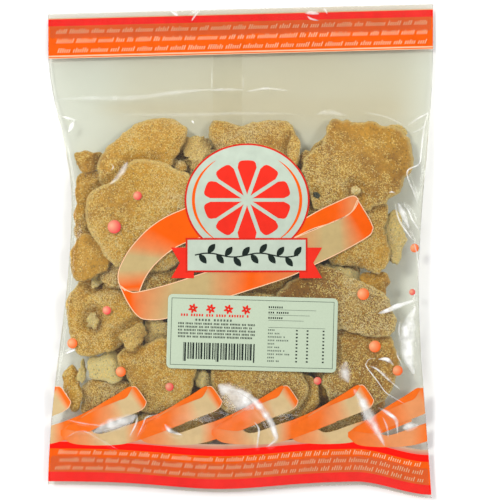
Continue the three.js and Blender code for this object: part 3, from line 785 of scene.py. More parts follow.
def new_piece(name, points, faces, material, slot, attributes=()):
    """Makes a mesh from points in millimetres and arrays of faces, one array for each number of
    corners. attributes are (name, values), with one number or one colour for each point."""
    mesh = bpy.data.meshes.new(name)
    groups = faces if isinstance(faces, (list, tuple)) else [faces]
    corners = np.concatenate([group.ravel() for group in groups]).astype(np.int32)
    sizes = np.concatenate([np.full(len(group), group.shape[1]) for group in groups])
    starts = np.concatenate([[0], np.cumsum(sizes)[:-1]]).astype(np.int32)
    mesh.vertices.add(len(points))
    mesh.vertices.foreach_set("co", (np.asarray(points) * MM).astype(np.float32).ravel())
    mesh.loops.add(len(corners))
    mesh.loops.foreach_set("vertex_index", corners)
    mesh.polygons.add(len(sizes))
    mesh.polygons.foreach_set("loop_start", starts)
    mesh.polygons.foreach_set("use_smooth", np.ones(len(sizes), bool))
    mesh.update(calc_edges=True)
    mesh.validate()
    for key, values in attributes:
        values = np.asarray(values, np.float32)
        kind = "FLOAT" if values.ndim == 1 else "FLOAT_COLOR"
        layer = mesh.attributes.new(key, kind, "POINT")
        if values.ndim == 1:
            layer.data.foreach_set("value", values)
        else:
            opaque = np.hstack([values, np.ones((len(values), 1), np.float32)])
            layer.data.foreach_set("color", opaque.ravel())
    mesh.materials.append(material)
    piece = bpy.data.objects.new(name, mesh)
    bpy.context.scene.collection.objects.link(piece)
    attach(piece, BODY)
    return piece


def closed_sheet(upper, lower):
    """A closed sheet from two grids of points of the same shape, with walls round their rim."""
    rows, columns = upper.shape[:2]
    count = rows * columns
    top = grid_faces(rows, columns)
    index = np.arange(count).reshape(rows, columns)
    rim = np.concatenate([index[0, :-1], index[:-1, -1], index[-1, :0:-1], index[:0:-1, 0]])
    following = np.roll(rim, -1)
    walls = np.stack([rim + count, following + count, following, rim], axis=1)
    faces = np.vstack([top, top[:, ::-1] + count, walls])
    return np.vstack([upper.reshape(-1, 3), lower.reshape(-1, 3)]), faces


# Heights over the film of the layers of print, the painted glare along the folds and the label. Where
# two of them overlap, the higher one is seen.
FIELD_LIFT, DASH_LIFT = 0.06, 0.1
RIBBON_LIFT, TURNED_LIFT, EDGE_LIFT = 0.06, 0.08, 0.11
GROUND_LIFT, SLICE_LIFT, TAIL_LIFT, RIM_LIFT, PLATE_LIFT, LEAF_LIFT = 0.14, 0.17, 0.19, 0.22, 0.25, 0.28
BALL_LIFT, FOLD_LIFT = 0.36, 0.5
LABEL_UNDER, LABEL_TOP, LABEL_INK_LIFT = 0.2, 0.42, 0.45


def within_film(x, y):
    """Keeps printed places 0.2 mm inside the side folds."""
    _, v = film_point(x, y)
    left, right = outline_sides(np.clip(v, 0, 1))
    return np.clip(x, left + 0.2, right - 0.2), y


def aside_of(line):
    """For each point of a line, the direction square to it on its left, of length 1."""
    along = np.gradient(line, axis=0)
    aside = np.stack([-along[:, 1], along[:, 0]], axis=-1)
    return aside / np.maximum(np.linalg.norm(aside, axis=1, keepdims=True), 1e-9)


class Patches:
    """Collects printed patches, each a grid of points, and joins them into one piece."""

    def __init__(self, context):
        self.context = context
        self.points, self.faces, self.colours, self.total = [], [], [], 0

    def add(self, points, colours, turned=False):
        """colours is one colour, or one for each point. turned is for a grid whose faces would
        otherwise look down."""
        faces = grid_faces(*points.shape[:2]) + self.total
        self.points.append(points.reshape(-1, 3))
        self.faces.append(faces[:, ::-1] if turned else faces)
        self.colours.append(np.broadcast_to(colours, points.shape).reshape(-1, 3))
        self.total += len(self.points[-1])

    def lay(self, x, y, colours, lift, turned=False):
        """Adds a grid of places on the plan at a height over the film."""
        self.add(on_film(self.context, x, y, lift), colours, turned)

    def strip(self, lower, upper, colours, lift, columns, rows):
        """A strip between two curves: straight lines join them at even steps. colours are
        (share, colour) stops along it, joined by straight lines."""
        t = np.linspace(0, 1, rows)[:, None, None]
        low, high = curve(lower, columns), curve(upper, columns)
        grid = low[None] * (1 - t) + high[None] * t
        shares = np.linspace(0, 1, columns)
        at = [share for share, _ in colours]
        tint = np.stack([np.interp(shares, at, [c[k] for _, c in colours]) for k in range(3)], -1)
        self.lay(*within_film(grid[..., 0], grid[..., 1]), tint, lift)

    def line(self, points, width, tint, lift, columns):
        """A line of even width along a curve through points."""
        middle = curve(points, columns)
        step = 0.5 * width * aside_of(middle)
        sides = np.stack([middle - step, middle + step])
        self.lay(*within_film(sides[..., 0], sides[..., 1]), tint, lift)

    def ring(self, centre, inner, outer, stretch, tint, lift):
        """A ring between two radii, widened along X by stretch."""
        full = 2 * math.pi
        columns = int(full * outer / 0.8)
        rows = max(2, int((outer - inner) / 1.2) + 2)
        angle, radius = np.meshgrid(np.linspace(0, full, columns), np.linspace(outer, inner, rows))
        x = centre[0] + stretch * radius * np.cos(angle)
        self.lay(x, centre[1] + radius * np.sin(angle), tint, lift)

    def quad(self, corners, tint, lift, columns=12, rows=5):
        """A four-sided field, with corners given round it from the lower left."""
        a, b, c, d = (np.array(corner, float) for corner in corners)
        s, t = np.meshgrid(np.linspace(0, 1, columns), np.linspace(0, 1, rows))
        s, t = s[..., None], t[..., None]
        grid = (a * (1 - s) + b * s) * (1 - t) + (d * (1 - s) + c * s) * t
        self.lay(*within_film(grid[..., 0], grid[..., 1]), tint, lift)

    def build(self, name):
        new_piece(name, np.vstack(self.points), np.vstack(self.faces), ink_material(),
                  "printing_ink", [("ink", np.vstack(self.colours))])


# ---------------------------------------------------------------------------------------------
# Materials
# ---------------------------------------------------------------------------------------------

def new_tree(name):
    """The empty node tree of a new material, and the socket for places in metres."""
    material = bpy.data.materials.new(name)
    material.use_nodes = True
    tree = material.node_tree
    tree.nodes.clear()
    return material, tree, add_node(tree, "ShaderNodeTexCoord", {}).outputs["Object"]


def shaded(material, shader):
    """Gives the material its shader, and returns it."""
    add_node(material.node_tree, "ShaderNodeOutputMaterial", {"Surface": shader.outputs[0]})
    return material


def add_node(tree, kind, inputs, **settings):
    """Adds a node; inputs are socket names or numbers with a value or the socket to link."""
    made = tree.nodes.new(kind)
    for key, value in settings.items():
        setattr(made, key, value)
    for key, value in inputs.items():
        if isinstance(value, bpy.types.NodeSocket):
            tree.links.new(value, made.inputs[key])
        else:
            made.inputs[key].default_value = value
    return made


def noise_socket(tree, place, per_metre, detail, roughness=0.55):
    return add_node(tree, "ShaderNodeTexNoise", {
        "Vector": place, "Scale": per_metre, "Detail": detail, "Roughness": roughness,
    }).outputs["Fac"]


def math_socket(tree, operation, a, b=0.0, clamp=False):
    return add_node(tree, "ShaderNodeMath", {0: a, 1: b}, operation=operation,
                    use_clamp=clamp).outputs[0]


def range_socket(tree, value, low, high, to_low=0.0, to_high=1.0):
    return add_node(tree, "ShaderNodeMapRange", {
        "Value": value, "From Min": low, "From Max": high, "To Min": to_low, "To Max": to_high,
    }).outputs["Result"]


def mix_socket(tree, share, a, b):
    """Colour a where share is 0 and b where it is 1."""
    return add_node(tree, "ShaderNodeMix", {0: share, 6: a, 7: b}, data_type="RGBA").outputs[2]


def multiply_socket(tree, a, b):
    """Colour a times b, which is a colour or a number."""
    return add_node(tree, "ShaderNodeMix", {0: 1.0, 6: a, 7: b}, data_type="RGBA",
                    blend_type="MULTIPLY").outputs[2]


def rgba(colour_value, factor=1.0):
    return (*(factor * channel for channel in colour_value), 1.0)


def attribute_socket(tree, name, output="Fac"):
    return add_node(tree, "ShaderNodeAttribute", {}, attribute_name=name).outputs[output]


def grain_sockets(tree, place, per_metre, sugar, bare, full):
    """Grains of one size: random cells of a Voronoi pattern, more of them where there is more
    sugar. Returns the share of sugar colour and the height of the grain's lump."""
    cells = add_node(tree, "ShaderNodeTexVoronoi", {"Vector": place, "Scale": per_metre})
    chance = add_node(tree, "ShaderNodeSeparateColor", {0: cells.outputs["Color"]}).outputs[0]
    threshold = range_socket(tree, sugar, 0.0, 1.0, bare, full)
    present = math_socket(tree, "GREATER_THAN", chance, threshold)
    lump = range_socket(tree, cells.outputs["Distance"], 0.15, 0.62, 1.0, 0.0)
    return (math_socket(tree, "MULTIPLY", present, range_socket(tree, lump, 0.0, 0.45)),
            math_socket(tree, "MULTIPLY", range_socket(tree, present, 0, 1, 0.25, 1.0), lump))


@functools.cache
def peel_material():
    """Candied peel: rind mottled from gold to brown, pith on torn rims, a crust of sugar grains that
    follows the piece's own sugar attribute, and pores, darker at their middles: their own colour and
    painted shade in their pits, which the bump doesn't deepen."""
    settings = bpy.context.scene.peel_bag_peel
    material, tree, place = new_tree("sugared_peel")
    clump = range_socket(tree, noise_socket(tree, place, 300, 4, 0.65), 0.3, 0.7, -0.42, 0.42)
    sugar = math_socket(tree, "ADD", attribute_socket(tree, "sugar"), clump)
    tone = attribute_socket(tree, "tone")
    pith = attribute_socket(tree, "pith")
    mottle = range_socket(tree, noise_socket(tree, place, 160, 4), 0.3, 0.7, -0.35, 0.35)
    depth = math_socket(tree, "ADD", tone, mottle, clamp=True)
    rind = mix_socket(tree, depth, rgba(settings.deep), rgba(settings.rind))
    fleck = range_socket(tree, noise_socket(tree, place, 900, 3), 0.35, 0.65, 0.82, 1.12)
    rind = multiply_socket(tree, rind, fleck)
    skin = mix_socket(tree, pith, rind, rgba(settings.pith))
    drift = range_socket(tree, sugar, 0.75, 1.25, 0.0, 0.65)
    crust = mix_socket(tree, drift, rgba(settings.sugar), rgba(settings.snow))
    coarse, coarse_lump = grain_sockets(tree, place, 1750.0, sugar, 1.02, 0.2)
    fine, fine_lump = grain_sockets(tree, place, 3100.0, sugar, 1.0, 0.35)
    skin = mix_socket(tree, math_socket(tree, "MULTIPLY", fine, 0.55), skin, crust)
    skin = mix_socket(tree, math_socket(tree, "MULTIPLY", coarse, 0.85), skin, crust)
    # Pores: darker towards each cell's middle, partly the pore's own colour and partly painted shade in
    # a pit that has no depth in the bump.
    pores = add_node(tree, "ShaderNodeTexVoronoi", {"Vector": place, "Scale": 620.0})
    dark = range_socket(tree, pores.outputs["Distance"], 0.06, 0.3, 0.45, 1.0)
    skin = multiply_socket(tree, skin, dark)
    lumps = math_socket(tree, "ADD", coarse_lump, math_socket(tree, "MULTIPLY", fine_lump, 0.5))
    bump = add_node(tree, "ShaderNodeBump", {"Height": lumps, "Distance": 0.00035,
                                             "Strength": 0.8})
    shine = range_socket(tree, coarse, 0.0, 0.8, 0.6, 0.4)
    shader = add_node(tree, "ShaderNodeBsdfPrincipled", {
        "Base Color": skin, "Roughness": shine, "Normal": bump.outputs["Normal"],
        "Specular IOR Level": 0.45, "Subsurface Weight": 0.12, "Subsurface Scale": 0.0012,
        "Subsurface Radius": (1.0, 0.55, 0.2),
    })
    return shaded(material, shader)


@functools.cache
def sugar_material():
    """Grains of sugar: pale, slightly translucent and glossy."""
    settings = bpy.context.scene.peel_bag_peel
    material, tree, place = new_tree("sugar_grains")
    tint = range_socket(tree, noise_socket(tree, place, 700, 2), 0.35, 0.65)
    skin = mix_socket(tree, tint, rgba(settings.sugar, 0.8), (1.0, 0.88, 0.58, 1.0))
    shader = add_node(tree, "ShaderNodeBsdfPrincipled", {
        "Base Color": skin, "Roughness": 0.22, "Specular IOR Level": 0.6})
    return shaded(material, shader)


@functools.cache
def stem_material():
    """Dried stem end: grey green and rough, darker in random patches."""
    material, tree, place = new_tree("dried_stem")
    tint = range_socket(tree, noise_socket(tree, place, 1400, 3), 0.35, 0.65)
    skin = mix_socket(tree, tint, (0.008, 0.015, 0.016, 1), (0.09, 0.085, 0.05, 1))
    shader = add_node(tree, "ShaderNodeBsdfPrincipled", {"Base Color": skin, "Roughness": 0.6})
    return shaded(material, shader)


def mirror_share(tree, straight_on):
    """Share of light a surface mirrors: r + (1 - r) (1 - cos)^5, the same from both sides."""
    facing = add_node(tree, "ShaderNodeLayerWeight", {"Blend": 0.5}).outputs["Facing"]
    fifth = math_socket(tree, "POWER", facing, 5.0)
    return range_socket(tree, fifth, 0.0, 1.0, straight_on, 1.0)


@functools.cache
def film_material():
    """Clear film: lets light through with a faint tint, warmer where its oil attribute is high,
    scatters a little of it where it is dusty, and mirrors like plastic."""
    settings = bpy.context.scene.peel_bag_film
    material, tree, place = new_tree("clear_film")
    oil = attribute_socket(tree, "oil")
    warm = tuple(a * b for a, b in zip(settings.clear, (0.975, 0.947, 0.905)))
    tint = mix_socket(tree, oil, rgba(settings.clear), rgba(warm))
    clear = add_node(tree, "ShaderNodeBsdfTransparent", {"Color": tint})
    fog = add_node(tree, "ShaderNodeBsdfDiffuse", {"Color": rgba(settings.fog), "Roughness": 0.5})
    cloud = range_socket(tree, noise_socket(tree, place, 45, 3), 0.3, 0.7, 0.006, 0.02)
    haze_and_painted_glare = add_node(tree, "ShaderNodeMixShader", {0: cloud, 1: clear.outputs[0], 2: fog.outputs[0]})
    ripple = noise_socket(tree, place, 330, 3)
    bump = add_node(tree, "ShaderNodeBump", {"Height": ripple, "Distance": 0.0004, "Strength": 0.2})
    gloss = add_node(tree, "ShaderNodeBsdfGlossy", {
        "Color": (1.0, 1.0, 1.0, 1.0), "Roughness": 0.07, "Normal": bump.outputs["Normal"]})
    whole = add_node(tree, "ShaderNodeMixShader", {
        0: mirror_share(tree, 0.03), 1: haze_and_painted_glare.outputs[0], 2: gloss.outputs[0]})
    return shaded(material, whole)


@functools.cache
def painted_glare_material():
    """Painted glare along a fold: white and glossy as far as the point's glare attribute says, standing
    in for the lamps mirrored in the fold.
    """
    material, tree, place = new_tree("painted_glare_film")
    uneven = range_socket(tree, noise_socket(tree, place, 900, 3), 0.3, 0.7, 0.85, 1.1)
    share = math_socket(tree, "MULTIPLY", attribute_socket(tree, "haze_and_painted_glare"), uneven, clamp=True)
    clear = add_node(tree, "ShaderNodeBsdfTransparent", {"Color": (1.0, 1.0, 1.0, 1.0)})
    # white: the colour of the painted glare
    white = add_node(tree, "ShaderNodeBsdfPrincipled", {
        "Base Color": (1.0, 1.0, 0.97, 1.0), "Roughness": 0.3, "Specular IOR Level": 0.5})
    whole = add_node(tree, "ShaderNodeMixShader", {0: share, 1: clear.outputs[0], 2: white.outputs[0]})
    return shaded(material, whole)


@functools.cache
def fin_material():
    """The back seam, pressed flat: it lets nearly all light through."""
    material, tree, place = new_tree("clear_seam")
    cloud = range_socket(tree, noise_socket(tree, place, 120, 3), 0.3, 0.7, 0.0, 0.03)
    clear = add_node(tree, "ShaderNodeBsdfTransparent", {"Color": (0.995, 0.993, 0.985, 1.0)})
    gloss = add_node(tree, "ShaderNodeBsdfGlossy", {"Roughness": 0.15})
    whole = add_node(tree, "ShaderNodeMixShader", {0: cloud, 1: clear.outputs[0], 2: gloss.outputs[0]})
    return shaded(material, whole)


@functools.cache
def ink_material():
    """Printing ink on the film: the piece's own ink colours, very slightly uneven, with a gloss."""
    material, tree, place = new_tree("printing_ink")
    tint = attribute_socket(tree, "ink", "Color")
    uneven = range_socket(tree, noise_socket(tree, place, 260, 3), 0.3, 0.7, 0.94, 1.05)
    skin = multiply_socket(tree, tint, uneven)
    shine = range_socket(tree, noise_socket(tree, place, 600, 2), 0.3, 0.7, 0.14, 0.2)
    shader = add_node(tree, "ShaderNodeBsdfPrincipled", {
        "Base Color": skin, "Roughness": shine, "Specular IOR Level": 0.14})
    return shaded(material, shader)


@functools.cache
def paper_material():
    """Coated label paper: faint fibres in its colour and in its surface."""
    settings = bpy.context.scene.peel_bag_label
    material, tree, place = new_tree("label_paper")
    fibre = noise_socket(tree, place, 1500, 5, 0.7)
    tint = range_socket(tree, fibre, 0.3, 0.7)
    skin = mix_socket(tree, tint, rgba(settings.paper, 0.95), rgba(settings.paper, 1.03))
    bump = add_node(tree, "ShaderNodeBump", {"Height": fibre, "Distance": 0.00003, "Strength": 0.5})
    shader = add_node(tree, "ShaderNodeBsdfPrincipled", {
        "Base Color": skin, "Roughness": 0.5, "Normal": bump.outputs["Normal"]})
    return shaded(material, shader)


@functools.cache
def floor_material():
    settings = bpy.context.scene.peel_bag_stage
    material, tree, place = new_tree("pale_floor")
    tint = range_socket(tree, noise_socket(tree, place, 3, 2), 0.3, 0.7)
    skin = mix_socket(tree, tint, rgba(settings.floor, 0.99), rgba(settings.floor, 1.01))
    shader = add_node(tree, "ShaderNodeBsdfPrincipled", {"Base Color": skin, "Roughness": 0.8})
    return shaded(material, shader)


# ---------------------------------------------------------------------------------------------
# Operators
# ---------------------------------------------------------------------------------------------

class PEELBAG_OT_peel(bpy.types.Operator):
    """Make every piece of peel in the bag"""
    bl_idname = "peelbag.make_peel"
    bl_label = "Make Peel"

    def execute(self, context):
        thickness = context.scene.peel_bag_peel.thickness / MM
        placed, _ = lay_filling(thickness)
        for number, laid in enumerate(placed, start=1):
            peel = laid.peel
            points, faces, share, top_count = peel_shell(laid, thickness)
            x, y = points[:, 0], points[:, 1]
            upper = np.arange(len(points)) < top_count
            sugar = sugar_share(laid, x, y) * np.where(upper, 1.0, 0.6)
            tone = np.clip(peel.tone + 0.3 * noise(x, y, 12.0, laid.seed + 7), 0, 1)
            rim = smooth(share, 0.9, 1.0)
            pith = np.clip(np.where(upper, peel.pith, 1 - peel.pith) + 0.55 * rim, 0, 1)
            new_piece(f"peel_{number:02d}", points, faces, peel_material(), "sugared_peel",
                      [("sugar", sugar), ("tone", tone), ("pith", pith)])
        return {"FINISHED"}


CRYSTAL_CORNERS = np.array([(1, 0, 0), (0, 1, 0), (-1, 0, 0), (0, -1, 0), (0, 0, 1), (0, 0, -1)], float)
CRYSTAL_FACES = np.array([(0, 1, 4), (1, 2, 4), (2, 3, 4), (3, 0, 4), (1, 0, 5), (2, 1, 5), (3, 2, 5),
                          (0, 3, 5)])


def random_turns(rng, count):
    """Random rotation matrices from random unit quaternions."""
    q = rng.normal(size=(count, 4))
    w, x, y, z = (q / np.linalg.norm(q, axis=1, keepdims=True)).T
    return np.stack([
        np.stack([1 - 2 * (y * y + z * z), 2 * (x * y - z * w), 2 * (x * z + y * w)], axis=-1),
        np.stack([2 * (x * y + z * w), 1 - 2 * (x * x + z * z), 2 * (y * z - x * w)], axis=-1),
        np.stack([2 * (x * z - y * w), 2 * (y * z + x * w), 1 - 2 * (x * x + y * y)], axis=-1),
    ], axis=1)


class PEELBAG_OT_sugar(bpy.types.Operator):
    """Scatter loose grains of sugar over the peel that can be seen"""
    bl_idname = "peelbag.make_sugar"
    bl_label = "Make Sugar"

    def execute(self, context):
        settings = context.scene.peel_bag_peel
        thickness = settings.thickness / MM
        placed, top = lay_filling(thickness)
        rng = np.random.default_rng(41)
        spots, weights = [], []
        for laid in placed:
            if laid.from_below:
                continue
            points, _, share, top_count = peel_shell(laid, thickness)
            points, share = points[:top_count], share[:top_count]
            seen = (points[:, 2] > sample(top, points[:, 0], points[:, 1]) - 0.8) & (share < 0.97)
            weight = sugar_share(laid, points[:, 0], points[:, 1]) ** 1.5
            spots.append(points[seen])
            weights.append(weight[seen])
        spots, weights = np.vstack(spots), np.concatenate(weights)
        chosen = rng.choice(len(spots), settings.crystals, replace=False, p=weights / weights.sum())
        centres = spots[chosen] + rng.uniform(-0.15, 0.15, (settings.crystals, 3))
        half = 0.5 * settings.crystal / MM * rng.uniform(0.55, 1.15, (settings.crystals, 1, 3))
        turned = np.einsum("nij,nkj->nki", random_turns(rng, settings.crystals),
                           CRYSTAL_CORNERS[None] * half)
        points = (centres[:, None] + turned).reshape(-1, 3)
        faces = (CRYSTAL_FACES[None] + 6 * np.arange(settings.crystals)[:, None, None]).reshape(-1, 3)
        piece = new_piece("sugar_grains", points, faces, sugar_material(), "sugar")
        piece.data.polygons.foreach_set("use_smooth", np.zeros(len(faces), bool))
        return {"FINISHED"}


class PEELBAG_OT_film(bpy.types.Operator):
    """Make the closed tube of film round the peel, and the long seam on its back"""
    bl_idname = "peelbag.make_film"
    bl_label = "Make Film"

    FRONT_COLUMNS = 240
    BACK_COLUMNS = 60
    ROWS = 300

    def execute(self, context):
        settings = context.scene.peel_bag_film
        front = drape(context.scene.peel_bag_peel.thickness / MM, settings.gap / MM)
        across = 0.5 - 0.5 * np.cos(np.linspace(0, math.pi, self.FRONT_COLUMNS + 1))
        even = np.linspace(0, 1, self.FRONT_COLUMNS + 1)
        u = 0.35 * across + 0.65 * even
        v = np.linspace(0, 1, self.ROWS + 1)
        u_grid, v_grid = np.meshgrid(u, v)
        x, y = plan_point(u_grid, v_grid)
        fold = seam_height(v_grid)
        inwards = smooth(0.5 - np.abs(u_grid - 0.5), 0, 0.012)
        z = fold + (sample(front, x, y) - fold) * inwards
        z = np.maximum(z, fold * (1 - inwards) + (back_height(u_grid, v_grid) + 0.15) * inwards)
        top = np.stack([x, y, z], axis=-1)
        every = self.FRONT_COLUMNS // self.BACK_COLUMNS
        inner = slice(every, self.FRONT_COLUMNS, every)
        back_x, back_y = x[:, inner], y[:, inner]
        back_z = back_height(u_grid[:, inner], v_grid[:, inner])
        back = np.stack([back_x, back_y, back_z], axis=-1)
        ring = np.concatenate([top, back[:, ::-1]], axis=1)
        size = ring.shape[1]
        step = np.arange(size)
        following = (step + 1) % size
        base = (np.arange(self.ROWS) * size)[:, None]
        faces = np.stack([base + step, base + following, base + size + following,
                          base + size + step], axis=-1).reshape(-1, 4)
        ends = []
        for row, order in ((0, -1), (self.ROWS, 1)):
            start = row * size
            ring_front = start + np.arange(self.FRONT_COLUMNS + 1)
            ring_back = start + self.FRONT_COLUMNS + np.arange(self.BACK_COLUMNS + 1)[::-1]
            ring_back[0] = start
            k = np.arange(self.BACK_COLUMNS)[:, None]
            fan = np.hstack([ring_front[k * every + np.arange(every + 1)],
                             ring_back[k + 1], ring_back[k]])
            middle = fan[1:-1]
            first = np.delete(fan[:1], every + 2, axis=1)
            last = np.delete(fan[-1:], every + 1, axis=1)
            ends += [part[:, ::order] for part in (middle, first, last)]
        points = ring.reshape(-1, 3)
        film = new_piece("film", points, [faces, *ends], film_material(), "clear_film",
                         [("oil", oil_share(points[:, 0], points[:, 1]))])
        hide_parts("pack")
        self.make_fin(settings)
        return {"FINISHED"}

    def make_fin(self, settings):
        """The long back seam: a flat strip folded to one side, just under the back film."""
        left, right = -11.4, -11.4 + settings.fin_width / MM
        x, y = np.meshgrid(np.linspace(left, right, 13), np.linspace(-95, 97, 97))
        u, v = film_point(x, y)
        lower = np.stack([x, y, back_height(u, v) - 0.28], axis=-1)
        upper = np.stack([x, y, back_height(u, v) - 0.14], axis=-1)
        points, faces = closed_sheet(upper, lower)
        new_piece("back_fin", points, faces, fin_material(), "clear_film")


class PEELBAG_OT_painted_glare(bpy.types.Operator):
    """Paint glare in white along the film's folds, in place of the lamps mirrored in them"""
    bl_idname = "peelbag.make_creases"
    bl_label = "Make Painted Glare"

    def execute(self, context):
        points, faces, painted_glares, total = [], [], [], 0
        for crease in CREASES:
            patch, quads, haze_and_painted_glare = self.strip(context, crease)
            points.append(patch.reshape(-1, 3))
            faces.append(quads + total)
            painted_glares.append(haze_and_painted_glare.ravel())
            total += haze_and_painted_glare.size
        new_piece("film_painted_glare", np.vstack(points), np.vstack(faces), painted_glare_material(), "clear_film",
                  [("haze_and_painted_glare", np.concatenate(painted_glares))])
        return {"FINISHED"}

    def strip(self, context, crease):
        """A strip along the fold: half its width is sin(pi t)^0.7 of the greatest, and its painted
        glare falls to its sides as (1 - s^2)^(4 soft) and is streaked by noise 2 mm wide."""
        columns, rows = 12 * len(crease.points), 9
        line = curve(crease.points, columns)
        t = np.linspace(0, 1, columns)
        half = 0.5 * crease.width * np.maximum(np.sin(math.pi * t), 0.0) ** 0.7 + 0.03
        s = np.linspace(-1, 1, rows)[:, None]
        wave = 1 + 0.22 * noise(line[:, 0], line[:, 1], 1.6, 91) * (crease.width > 1.2)
        grid = line[None] + (s * half * wave)[..., None] * aside_of(line)[None]
        x, y = within_film(grid[..., 0], grid[..., 1])
        # streaks in the painted glare
        streak = np.clip(0.8 + 0.45 * noise(x, y, 2.0, 92), 0, 1.2)
        haze_and_painted_glare = np.clip(crease.haze_and_painted_glare * streak * (1 - s**2) ** (4 * crease.soft), 0, 0.95)
        ends = np.sin(math.pi * t) ** 0.35
        return on_film(context, x, y, FOLD_LIFT), grid_faces(rows, columns), haze_and_painted_glare * ends


class PEELBAG_OT_bands(bpy.types.Operator):
    """Print the bands and stripes at both ends of the bag"""
    bl_idname = "peelbag.make_bands"
    bl_label = "Make Bands"

    def execute(self, context):
        settings = context.scene.peel_bag_print
        patches = Patches(context)
        red, orange, edge = settings.red, settings.orange, settings.edge
        band, stripe = settings.band / MM, settings.stripe / MM
        top_clear, bottom_clear, bottom_red, bottom_band = 1.9, 1.4, 4.0, 9.6
        # Each end's fields from its edge inwards, as width and colour.
        top_fields = ((0.4, edge), (stripe, red), (band, orange), (0.6, edge), (0.4, orange),
                      (0.3, edge))
        bottom_fields = ((bottom_red, red), (bottom_band, orange), (stripe, red),
                         (0.7, (0.66, 0.2, 0.14)), (0.7, (0.6, 0.27, 0.18)),
                         (0.7, (0.58, 0.36, 0.24)))
        for at_top, start, fields in ((True, top_clear, top_fields),
                                      (False, bottom_clear, bottom_fields)):
            for width, tint in fields:
                self.field(patches, at_top, start, width, tint)
                start += width
        for row in range(3):
            self.dashes(patches, settings, True, top_clear + stripe + 1.7 + 3.95 * row, row)
            self.dashes(patches, settings, False, bottom_red + bottom_band - 0.9 - 3.2 * row, row + 3)
        patches.build("print_bands")
        return {"FINISHED"}

    def place(self, u, inwards, at_top):
        """Place at share u across and a distance inwards from an end's edge."""
        end = top_end(u) - inwards if at_top else bottom_end(u) + inwards
        v = (end - bottom_end(u)) / (top_end(u) - bottom_end(u))
        left, right = outline_sides(v)
        return left + 0.15 + (right - left - 0.3) * u, end

    def field(self, patches, at_top, start, width, tint):
        """A band across the bag that follows the edge of its end."""
        rows = max(2, int(width / 0.8) + 2)
        u, inwards = np.meshgrid(np.linspace(0, 1, 260), np.linspace(start, start + width, rows))
        x, y = self.place(u, inwards, at_top)
        patches.lay(x, y, tint, FIELD_LIFT, turned=at_top)

    def dashes(self, patches, settings, at_top, start, row):
        """A row of slanted dashes in groups of 3 to 9, in place of writing."""
        height = settings.dash_height / MM
        rng = np.random.default_rng(60 + row)
        width, pitch, slant, reach = 0.36, 0.92, 0.42, 77
        places, position = [], -77.5 + rng.uniform(0, 2)
        while position < reach:
            for _ in range(rng.integers(3, 10)):
                places.append((position, rng.choice([0.72, 0.72, 1.0])))
                position += pitch
            position += pitch
        for position, tall in places:
            if position > reach:
                continue
            s, t = np.meshgrid(np.linspace(0, 1, 2), np.linspace(0, 1, 4))
            x0 = position + width * s + slant * tall * height * t
            u = (x0 + HALF_WIDTH) / (2 * HALF_WIDTH)
            base = start + height if at_top else start
            inwards = base - t * tall * height if at_top else base + t * tall * height
            x, y = self.place(u, inwards, at_top)
            patches.lay(x, y, settings.edge, DASH_LIFT)


class PEELBAG_OT_ribbon(bpy.types.Operator):
    """Print the large looped ribbon behind the roundel"""
    bl_idname = "peelbag.make_ribbon"
    bl_label = "Make Ribbon"

    LEFT_OUTER = ((-22.2, 17.8), (-31.3, 13.7), (-38.4, 8.7), (-44.6, 2.1), (-48.3, -3.7),
                  (-50.4, -9.1), (-50, -13.7), (-47.5, -16.4))
    LEFT_INNER = ((-14.3, 6.2), (-21, 4.1), (-27.2, 1.2), (-32.6, -2.9), (-36.7, -7.1),
                  (-39.6, -11.6), (-41.7, -16.6))
    LOW_UPPER = ((-50, -14), (-46, -16.6), (-41.7, -16.8), (-29.3, -13.7), (-16.4, -9.5), (3.9, -2.9),
                 (20.5, 4.6), (36.3, 11.2), (45, 15.4), (48.3, 21.2))
    LOW_LOWER = ((-50, -14), (-46.4, -21.4), (-42.7, -26.4), (-38.6, -28.2), (-29.3, -27.4),
                 (-15.1, -22), (0.6, -17), (19.3, -10.8), (30.1, -5.8), (41.3, -0.4),
                 (52.6, 6), (54.8, 9.4))
    RIGHT_UPPER = ((21.9, 10.6), (32.2, 16.6), (39.2, 19.9), (44.6, 22.3), (47.1, 22.6), (48.6, 21.2))
    RIGHT_LOWER = ((21.9, 5.4), (29.7, 9.1), (36.3, 11.2), (42.1, 13.7), (45.9, 16.2), (48, 19.1),
                   (48.6, 21.2))

    def execute(self, context):
        settings = context.scene.peel_bag_print
        deep, cream, edge = settings.deep, settings.cream, settings.edge
        mid = tuple(0.55 * d + 0.45 * c for d, c in zip(deep, cream))
        patches = Patches(context)
        low_colours = ((0, deep), (0.12, deep), (0.24, mid), (0.36, cream), (0.46, cream),
                       (0.56, deep), (0.66, mid), (0.76, cream), (0.82, cream), (0.9, deep), (1, deep))
        patches.strip(self.LOW_LOWER, self.LOW_UPPER, low_colours, RIBBON_LIFT, 150, 26)
        left_colours = ((0, deep), (0.26, deep), (0.42, mid), (0.52, cream), (0.68, cream),
                        (0.82, mid), (0.93, deep), (1, mid))
        patches.strip(self.LEFT_OUTER, self.LEFT_INNER, left_colours, TURNED_LIFT, 90, 22)
        right_colours = ((0, deep), (0.4, deep), (0.66, mid), (0.86, mid), (1, deep))
        patches.strip(self.RIGHT_LOWER, self.RIGHT_UPPER, right_colours, TURNED_LIFT, 60, 14)
        for line in (self.LOW_UPPER, self.LOW_LOWER, self.LEFT_OUTER, self.LEFT_INNER,
                     self.RIGHT_UPPER, self.RIGHT_LOWER):
            patches.line(line, 0.38, edge, EDGE_LIFT, 140)
        fold_right = ((48.3, 21.2), (50.6, 17.4), (53.2, 13.2), (54.8, 9.4))
        patches.line(fold_right, 0.38, edge, EDGE_LIFT, 24)
        patches.build("print_ribbon")
        return {"FINISHED"}


